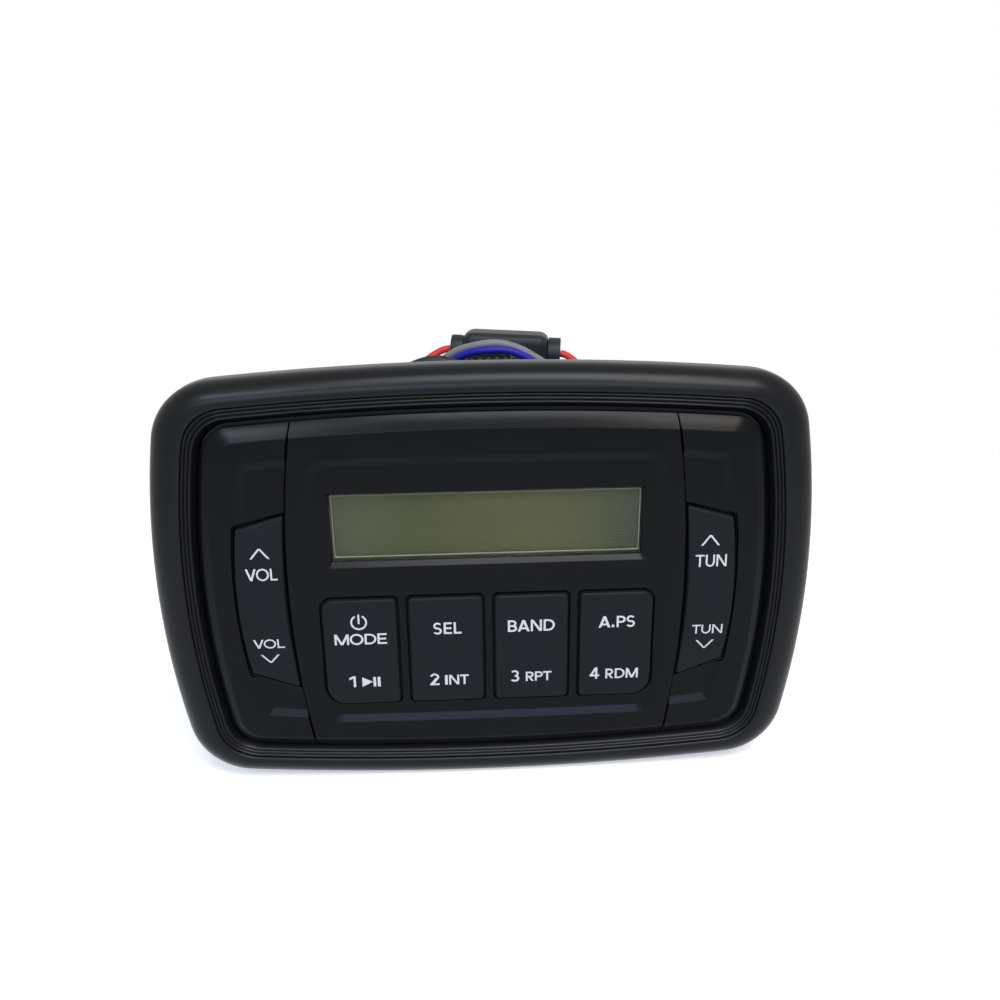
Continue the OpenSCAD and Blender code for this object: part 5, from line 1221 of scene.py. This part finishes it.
# fins: a soft-cornered bar swept up the sink, repeated across it
def finNodes():
    tree, given = startTree("uprightFins", [
        ("Count", "Int"), ("Pitch", "Float"), ("Thickness", "Float"), ("Height", "Float"),
        ("Length", "Float"), ("Tip Radius", "Float"), ("Finish", "Material")])
    outline = addNode(tree, "GeometryNodeCurvePrimitiveQuadrilateral", {"mode": "RECTANGLE"},
                      {"Width": given["Thickness"], "Height": given["Height"]})
    soft = addNode(tree, "GeometryNodeFilletCurve", {"mode": "POLY", "Count": 4, "Limit Radius": True},
                   {0: outline.outputs[0], "Radius": given["Tip Radius"]})
    half = addNode(tree, "ShaderNodeMath", {"operation": "MULTIPLY", 1: 0.5}, {0: given["Length"]})
    minus = addNode(tree, "ShaderNodeMath", {"operation": "MULTIPLY", 1: -0.5}, {0: given["Length"]})
    low = addNode(tree, "ShaderNodeCombineXYZ", links={2: minus.outputs[0]})
    high = addNode(tree, "ShaderNodeCombineXYZ", links={2: half.outputs[0]})
    spine = addNode(tree, "GeometryNodeCurvePrimitiveLine", {"mode": "POINTS"},
                    {"Start": low.outputs[0], "End": high.outputs[0]})
    fin = addNode(tree, "GeometryNodeCurveToMesh", {"Fill Caps": True},
                  {0: spine.outputs[0], 1: soft.outputs[0]})
    lessOne = addNode(tree, "ShaderNodeMath", {"operation": "SUBTRACT", 1: 1.0}, {0: given["Count"]})
    reach = addNode(tree, "ShaderNodeMath", {"operation": "MULTIPLY"},
                    {0: lessOne.outputs[0], 1: given["Pitch"]})
    leftmost = addNode(tree, "ShaderNodeMath", {"operation": "MULTIPLY", 1: -0.5}, {0: reach.outputs[0]})
    start = addNode(tree, "ShaderNodeCombineXYZ", links={0: leftmost.outputs[0]})
    step = addNode(tree, "ShaderNodeCombineXYZ", links={0: given["Pitch"]})
    places = addNode(tree, "GeometryNodeMeshLine", {"mode": "OFFSET"}, {
        "Count": given["Count"], "Start Location": start.outputs[0], "Offset": step.outputs[0]})
    placed = addNode(tree, "GeometryNodeInstanceOnPoints", links={
        "Points": places.outputs[0], "Instance": fin.outputs[0]})
    endTree(tree, placed.outputs[0], given["Finish"])
    return tree


fins = {"count": 13, "span": 64, "thick": 1.6, "from": 58.2, "to": 63.4, "tall": 44, "tip": 0.5,
        "baseWide": 84, "baseSoft": 0.4, "padWide": 24, "padHigh": 18, "padFrom": 51, "padSunk": 0.2,
        "padSoft": 0.2, "screwHole": 1.5}
finMesh = grownMesh("fins", finNodes(), {
    "Count": fins["count"], "Pitch": fins["span"] / (fins["count"] - 1) * mm,
    "Thickness": fins["thick"] * mm, "Height": (fins["to"] - fins["from"]) * mm,
    "Length": fins["tall"] * mm, "Tip Radius": fins["tip"] * mm, "Finish": finish["castAluminium"]})
finMesh.transform(Matrix.Translation(Vector((0, (fins["from"] + fins["to"]) / 2, 0)) * mm))
base = roundedBlock("sinkBase", (-fins["baseWide"] / 2, rearWall, -fins["tall"] / 2),
                    (fins["baseWide"] / 2, sinkFace, fins["tall"] / 2), fins["baseSoft"])
base = carved("sinkBase", base, [rod(fins["screwHole"], (sx * sinkX, 54, sz * sinkZ), (0, 1, 0), 6)
                                 for sx, sz in fourCorners])
pad = roundedBlock("sinkPad", (-fins["padWide"] / 2, fins["padFrom"], housing["padZ"] - fins["padHigh"] / 2),
                   (fins["padWide"] / 2, rearWall + fins["padSunk"], housing["padZ"] + fins["padHigh"] / 2),
                   fins["padSoft"])
addPiece("heatSink", joined("heatSink", [finMesh, base, pad]), finish["castAluminium"],
         replaced=["heat_sink"])
print("heat sink made")

# cable hood: a wedge on the housing with a spigot through it
hood = {"section": [(8, housingTop), (16.5, housingTop), (16.5, 42.6), (8, 49)], "from": 19, "to": 39,
        "soft": 0.7, "spigotR": 4, "spigotSoft": 0.5, "spigotFrom": 33.4, "spigotTo": 40.5}


# a slab between two depths whose edges are rounded wherever "keep" says so
def softPrism(name, section, y0, y1, soft, keep):
    work = bmesh.new()
    ends = [[work.verts.new(Vector((x, y, z)) * mm) for x, z in section] for y in (y0, y1)]
    work.faces.new(ends[0])
    work.faces.new(list(reversed(ends[1])))
    n = len(section)
    for i in range(n):
        work.faces.new((ends[0][i], ends[1][i], ends[1][(i + 1) % n], ends[0][(i + 1) % n]))
    bmesh.ops.recalc_face_normals(work, faces=work.faces)
    edges = [e for e in work.edges if keep((e.verts[0].co + e.verts[1].co) / 2 / mm)]
    bmesh.ops.bevel(work, geom=edges, offset=soft * mm, segments=4, profile=0.5, affect="EDGES")
    mesh = bpy.data.meshes.new(name)
    work.to_mesh(mesh)
    work.free()
    return mesh


wedge = softPrism("wedge", hood["section"], hood["from"], hood["to"], hood["soft"],
                  lambda p: p.z > housingTop + 0.1)
spigotProfile = [(hood["spigotR"] - hood["spigotSoft"], 0), (hood["spigotR"], hood["spigotSoft"]),
                 (hood["spigotR"], hood["spigotTo"] - hood["spigotFrom"])]
spigot = loftMesh("spigot", turnedRings(spigotProfile, (*housing["spigot"], hood["spigotFrom"]), (0, 0, 1)))
addPiece("cableHood", joined("cableHood", [wedge, spigot]), finish["filledNylon"], replaced=["cable_hood"])


# ribs: rings strung along a line, each sized for its place on a taper
def ribNodes():
    tree, given = startTree("taperedRibs", [
        ("Count", "Int"), ("Start", "Vector"), ("End", "Vector"), ("Start Radius", "Float"),
        ("End Radius", "Float"), ("Rib Share", "Float"), ("Finish", "Material")])
    circle = addNode(tree, "GeometryNodeCurvePrimitiveCircle", {"Resolution": 40, "Radius": 1.0})
    bead = addNode(tree, "GeometryNodeCurvePrimitiveCircle", {"Resolution": 12},
                   {"Radius": given["Rib Share"]})
    ring = addNode(tree, "GeometryNodeCurveToMesh", links={0: circle.outputs[0], 1: bead.outputs[0]})
    places = addNode(tree, "GeometryNodeMeshLine", {"mode": "END_POINTS"}, {
        "Count": given["Count"], "Start Location": given["Start"], "Offset": given["End"]})
    along = addNode(tree, "ShaderNodeVectorMath", {"operation": "SUBTRACT"},
                    {0: given["End"], 1: given["Start"]})
    facing = addNode(tree, "FunctionNodeAlignRotationToVector", {"axis": "Z"}, {"Vector": along.outputs[0]})
    number = addNode(tree, "GeometryNodeInputIndex")
    last = addNode(tree, "ShaderNodeMath", {"operation": "SUBTRACT", 1: 1.0}, {0: given["Count"]})
    size = addNode(tree, "ShaderNodeMapRange", {"From Min": 0.0}, {
        "Value": number.outputs[0], "From Max": last.outputs[0], "To Min": given["Start Radius"],
        "To Max": given["End Radius"]})
    placed = addNode(tree, "GeometryNodeInstanceOnPoints", links={
        "Points": places.outputs[0], "Instance": ring.outputs[0], "Rotation": facing.outputs[0],
        "Scale": size.outputs[0]})
    endTree(tree, placed.outputs[0], given["Finish"])
    return tree


ribTree = ribNodes()


def ribMesh(name, count, start, end, startR, endR, share, stuff):
    return grownMesh(name, ribTree, {
        "Count": count, "Start": tuple(Vector(start) * mm), "End": tuple(Vector(end) * mm),
        "Start Radius": startR / (1 + share) * mm, "End Radius": endR / (1 + share) * mm, "Rib Share": share,
        "Finish": stuff})


boot = {"root": (8, 25, 44.6), "tip": (-4.5, 25, 46.6), "rootR": 4.55, "tipR": 2.7, "ribs": 5,
        "groove": 0.75, "share": 0.17, "sunk": 1, "plainEnd": 1.9}
bootRoot = Vector(boot["root"])
along = Vector(boot["tip"]) - bootRoot
slope = (boot["tipR"] - boot["rootR"]) / along.length
core = [(boot["rootR"] - 0.3, -boot["sunk"]), (boot["rootR"], -0.6), (boot["rootR"], 0.4),
        (boot["rootR"] - boot["groove"], 0.9), (boot["tipR"] - boot["groove"] + 0.25, along.length - 1.6),
        (boot["tipR"] - 0.15, along.length - 1.1), (boot["tipR"] - 0.1, along.length - 0.3),
        (boot["tipR"] - 0.4, along.length)]
first, last = boot["plainEnd"], along.length - boot["plainEnd"]
ribs = ribMesh("ribs", boot["ribs"], bootRoot + along.normalized() * first,
               bootRoot + along.normalized() * last, boot["rootR"] + slope * first,
               boot["rootR"] + slope * last, boot["share"], finish["bootPvc"])
addPiece("cableBoot", joined("cableBoot", [loftMesh("core", turnedRings(core, boot["root"], along)), ribs]),
         finish["bootPvc"], replaced=["cable_boot"], sharpAt=50, even=False)
print("hood and boot made")

# in-line fuse holder: a squared body with soft corners between two round collars
holder = {"left": (-7.5, 50.5, 47.4), "right": (23.5, 46.5, 46.1), "half": 5.5, "corner": 2.3,
          "collarR": 4.1, "capR": 4.4, "collar": 3.6, "boreR": 2.8, "boreFrom": 5.4, "mouthR": 3.9,
          "plugR": 2.7, "plugFrom": 25.6, "sides": 72}
holderAxis = Vector(holder["right"]) - Vector(holder["left"])
holderLong = holderAxis.length
holderTurn = math.atan2(holderAxis.y, holderAxis.x)
holderTilt = math.asin(-holderAxis.z / holderLong)
onHolder = (Matrix.Translation(Vector(holder["left"])) @ Matrix.Rotation(holderTurn, 4, "Z")
            @ Matrix.Rotation(holderTilt, 4, "Y"))


# distance from the middle to a rounded square's edge, in a given direction
def squareReach(turn, half, corner):
    x, y = abs(math.cos(turn)), abs(math.sin(turn))
    flat = half / max(x, y)
    heart = half - corner
    if min(x, y) * flat <= heart:
        return flat
    dot = heart * (x + y)
    return dot + math.sqrt(dot * dot - (2 * heart * heart - corner * corner))


def holderRing(at, half=None, radius=None):
    ring = []
    for k in range(holder["sides"]):
        turn = 2 * math.pi * (k + 0.5) / holder["sides"]
        reach = radius if half is None else squareReach(turn, half, holder["corner"])
        ring.append(onHolder @ Vector((at, reach * math.cos(turn), reach * math.sin(turn))))
    return ring


# the bore from its floor to the mouth, then the soft-ended body, then the collar and the lead's hole
bodyEnd = holderLong - holder["collar"]
rings = [holderRing(holder["boreFrom"], radius=holder["boreR"]), holderRing(bodyEnd, radius=holder["boreR"]),
         holderRing(bodyEnd, radius=holder["mouthR"])]
softEnd = [(2.1, 0), (1.45, 0.12), (0.85, 0.5), (0.4, 1.15), (0.12, 1.9), (0, 2.8)]
collarProfile = [(4.0, 3.6), (3.95, 3.3), (4.02, 3.0), (holder["collarR"], 2.6), (holder["collarR"], 0.4),
                 (4.0, 0.1), (3.8, 0), (1.6, 0), (1.4, 0.5)]
rings += [holderRing(bodyEnd - x, half=holder["half"] - inset) for inset, x in softEnd]
rings += [holderRing(holder["collar"] + x, half=holder["half"] - inset) for inset, x in reversed(softEnd)]
rings += [holderRing(x, radius=r) for r, x in collarProfile]
addPiece("fuseHolder", loftMesh("fuseHolder", rings), finish["holderNylon"], replaced=["fuse_holder"],
         sharpAt=45)
capProfile = [(1.4, holderLong - 0.5), (1.6, holderLong), (4.1, holderLong), (4.32, holderLong - 0.1),
              (holder["capR"], holderLong - 0.4), (holder["capR"], bodyEnd + 0.35), (4.25, bodyEnd + 0.08),
              (3.0, bodyEnd), (holder["plugR"], bodyEnd - 0.2), (holder["plugR"], holder["plugFrom"] + 0.2),
              (2.5, holder["plugFrom"])]
addPiece("fuseHolderCap", loftMesh("fuseHolderCap", [holderRing(x, radius=r) for r, x in capProfile]),
         finish["holderNylon"], replaced=["fuse_holder_cap"], sharpAt=45)
print("fuse holder made")

# what the leads end in: a two-way plug with a latch, grip ribs and two cavities
plug = {"low": (-41, 29.5, 40.1), "high": (-27, 36.5, 45.1), "latch": (-39, -32, 31.5, 34.5, 45.0, 46.1),
        "cavityY": (31.6, 34.4), "cavityHalf": 1.15, "gripX": (-31.5, -30.1, -28.7), "gripY": (29.15, 36.15),
        "gripWide": 0.7}
block = roundedBlock("plugBody", plug["low"], plug["high"], 0.4)
cavities = [roundedBlock("cavity", (-42, y - plug["cavityHalf"], 41.3), (-33, y + plug["cavityHalf"], 43.9),
                         0.15, 1) for y in plug["cavityY"]]
grips = [roundedBlock("grip", (x, y, 40.9), (x + plug["gripWide"], y + plug["gripWide"], 44.3), 0.12, 1)
         for x in plug["gripX"] for y in plug["gripY"]]
x0, x1, y0, y1, z0, z1 = plug["latch"]
latchSide = [(x0, z0), (x1, z0), (x1, z1), (x0 + 1.8, z1), (x0 + 0.4, z0 + 0.4)]
latch = softPrism("latch", latchSide, y0, y1, 0.15, lambda p: p.z > z0 + 0.1)
addPiece("accessoryPlug", joined("accessoryPlug", [carved("plugBody", block, cavities + grips), latch]),
         finish["naturalNylon"], replaced=["accessory_plug"])

# a sleeved push-on terminal: radius and distance, from inside its mouth back to the lead
terminal = {"start": (53.8, 22.5, 42.7), "profile": [
    (1.2, 7.6), (1.9, 7.5), (1.9, 13.2), (2.1, 13.5), (2.4, 13.5), (2.6, 13.25), (2.6, 6.6), (2.45, 5.8),
    (2.2, 5.0), (2.15, 1.2), (2.3, 0.8), (2.3, 0.2), (2.1, 0), (1.2, 0), (1.0, 0.4)]}
addPiece("powerTerminal",
         loftMesh("powerTerminal", turnedRings(terminal["profile"], terminal["start"], (0, -1, 0), 40)),
         finish["terminalVinyl"], replaced=["power_terminal"], sharpAt=40)

# an aerial plug: a ribbed grip, then its collar and pin
aerial = {"start": (-22, 10, 44.1), "ribs": 7, "ribR": 3.9, "share": 0.14, "ribFrom": 4.4, "ribTo": 11.8,
          "grip": [(1.6, 0.3), (1.9, 0), (2.4, 0.1), (2.6, 1.5), (3.1, 3.2), (3.4, 4), (3.4, 12.4),
                   (3.7, 12.9), (4, 13.3), (4, 15.3), (3.8, 15.8), (3.3, 16), (1.5, 16)],
          "pin": [(1.4, 16), (2.8, 16), (3, 16.2), (3, 17.7), (2.8, 18), (1.8, 18), (1.6, 18.3), (1.6, 19.4),
                  (1.45, 19.6), (1.45, 20), (1.6, 20.2), (1.6, 26.9), (1.4, 27.5), (0.9, 28)]}
aerialX, aerialY, aerialZ = aerial["start"]
grip = loftMesh("grip", turnedRings(aerial["grip"], aerial["start"], (1, 0, 0)))
ribs = ribMesh("gripRibs", aerial["ribs"], (aerialX + aerial["ribFrom"], aerialY, aerialZ),
               (aerialX + aerial["ribTo"], aerialY, aerialZ), aerial["ribR"], aerial["ribR"],
               aerial["share"], finish["bootPvc"])
addPiece("antennaPlug", joined("antennaPlug", [grip, ribs]), finish["bootPvc"], replaced=["antenna_plug"],
         sharpAt=50, even=False)
addPiece("antennaPin", loftMesh("antennaPin", turnedRings(aerial["pin"], aerial["start"], (1, 0, 0), 40)),
         finish["nickelPlate"], replaced=["antenna_pin"], sharpAt=40)
print("lead ends made")

# CAD nodes that keep their shape
keptNodes = {
    "display_window": "castAcrylic", "lcd_glass": "crystalPanel", "backlight": "milkyPolycarbonate",
    "volume_pin": "stainlessSteel", "tuning_pin": "stainlessSteel", "key_mat": "greySilicone",
    "key_switches": "chipEpoxy", "display_board": "solderMask", "display_board_screws": "stainlessSteel",
    "front_case": "filledNylon", "panel_gasket": "epdmRubber", "housing_seal": "epdmRubber",
    "thermal_pad": "greySilicone", "amplifier_chip": "chipEpoxy", "main_board": "solderMask",
    "link_header": "chipEpoxy", "lead_header": "naturalNylon", "filter_capacitors": "capacitorSleeve",
    "power_choke": "darkFerrite", "tuner_can": "tinnedSteel", "wireless_module": "tinnedSteel",
    "hood_nut": "filledNylon", "fuse_tube": "fuseGlass", "fuse_caps": "nickelPlate"}
for node, stuff in keptNodes.items():
    nodes[node].data.materials.clear()
    nodes[node].data.materials.append(finish[stuff])
print("kept nodes finished:", len(keptNodes))

# floor, world and lamps; each lamp has its place and size in metres, its watts and its colour
studio = {"floor": -54.0, "floorR": 30, "floorColour": "#e8e8e8", "world": 0.15, "glow": 0.45, "near": 0.16,
          "far": 0.42, "aim": (0, 0.02, 0), "lamps": {
              "keySoftbox": ((0.14, -0.53, 0.85), (0.6, 0.44), 10.5, "#f8faff"),
              "lowFill": ((-0.06, -0.93, 0.31), (0.9, 0.16), 5.0, "#c8dcff"),
              "leftPanel": ((-0.36, -0.66, 0.6), (0.24, 0.18), 2.8, "#dceeff"),
              "rightPanel": ((0.36, -0.66, 0.6), (0.24, 0.16), 2.3, "#fff2e2")}}


# white for the camera, glossy and transmission rays; plain light for the rest
def seenDirectly(tree):
    path = addNode(tree, "ShaderNodeLightPath")
    two = addNode(tree, "ShaderNodeMath", {"operation": "MAXIMUM"},
                  {0: path.outputs["Is Camera Ray"], 1: path.outputs["Is Glossy Ray"]})
    three = addNode(tree, "ShaderNodeMath", {"operation": "MAXIMUM"},
                    {0: two.outputs[0], 1: path.outputs["Is Transmission Ray"]})
    return three.outputs[0]


white = linear("#ffffff")
world = bpy.data.worlds.new("paleStudio")
world.use_nodes = True
scene.world = world
tree = world.node_tree
tree.nodes.clear()
plain = addNode(tree, "ShaderNodeBackground", {"Color": white, "Strength": studio["world"]})
shown = addNode(tree, "ShaderNodeBackground", {"Color": white, "Strength": 1.0})
mixed = addNode(tree, "ShaderNodeMixShader",
                links={0: seenDirectly(tree), 1: plain.outputs[0], 2: shown.outputs[0]})
addNode(tree, "ShaderNodeOutputWorld", links={"Surface": mixed.outputs[0]})

floorMaterial = bpy.data.materials.new("paleFloor")
floorMaterial.use_nodes = True
tree = floorMaterial.node_tree
tree.nodes.clear()
matt = addNode(tree, "ShaderNodeBsdfDiffuse", {"Color": linear(studio["floorColour"])})
glow = addNode(tree, "ShaderNodeEmission", {"Color": white, "Strength": studio["glow"]})
near = addNode(tree, "ShaderNodeAddShader", links={0: matt.outputs[0], 1: glow.outputs[0]})
blank = addNode(tree, "ShaderNodeEmission", {"Color": white, "Strength": 1.0})
# the floor turns to plain white away from the object, so no horizon shows
spot = addNode(tree, "ShaderNodeTexCoord")
reach = addNode(tree, "ShaderNodeVectorMath", {"operation": "LENGTH"}, {0: spot.outputs["Object"]})
fade = addNode(tree, "ShaderNodeMapRange", {"interpolation_type": "SMOOTHSTEP", "From Min": studio["near"],
               "From Max": studio["far"]}, {"Value": reach.outputs["Value"]})
faded = addNode(tree, "ShaderNodeMixShader",
                links={0: fade.outputs[0], 1: near.outputs[0], 2: blank.outputs[0]})
mixed = addNode(tree, "ShaderNodeMixShader",
                links={0: seenDirectly(tree), 1: matt.outputs[0], 2: faded.outputs[0]})
addNode(tree, "ShaderNodeOutputMaterial", links={"Surface": mixed.outputs[0]})
floorMesh = bpy.data.meshes.new("floor")
work = bmesh.new()
bmesh.ops.create_circle(work, cap_ends=True, segments=96, radius=studio["floorR"])
bmesh.ops.translate(work, verts=work.verts, vec=(0, 0, studio["floor"] * mm))
work.to_mesh(floorMesh)
work.free()
floorMesh.materials.append(floorMaterial)
floor = looseObject("floor", floorMesh)

for name, (place, size, watts, colour) in studio["lamps"].items():
    lamp = bpy.data.lights.new(name, "AREA")
    lamp.shape = "RECTANGLE"
    lamp.size, lamp.size_y = size
    lamp.energy = watts
    lamp.color = linear(colour)[:3]
    stand = bpy.data.objects.new(name, lamp)
    scene.collection.objects.link(stand)
    stand.location = place
    stand.rotation_euler = (Vector(studio["aim"]) - Vector(place)).to_track_quat("-Z", "Y").to_euler()
print("studio set")
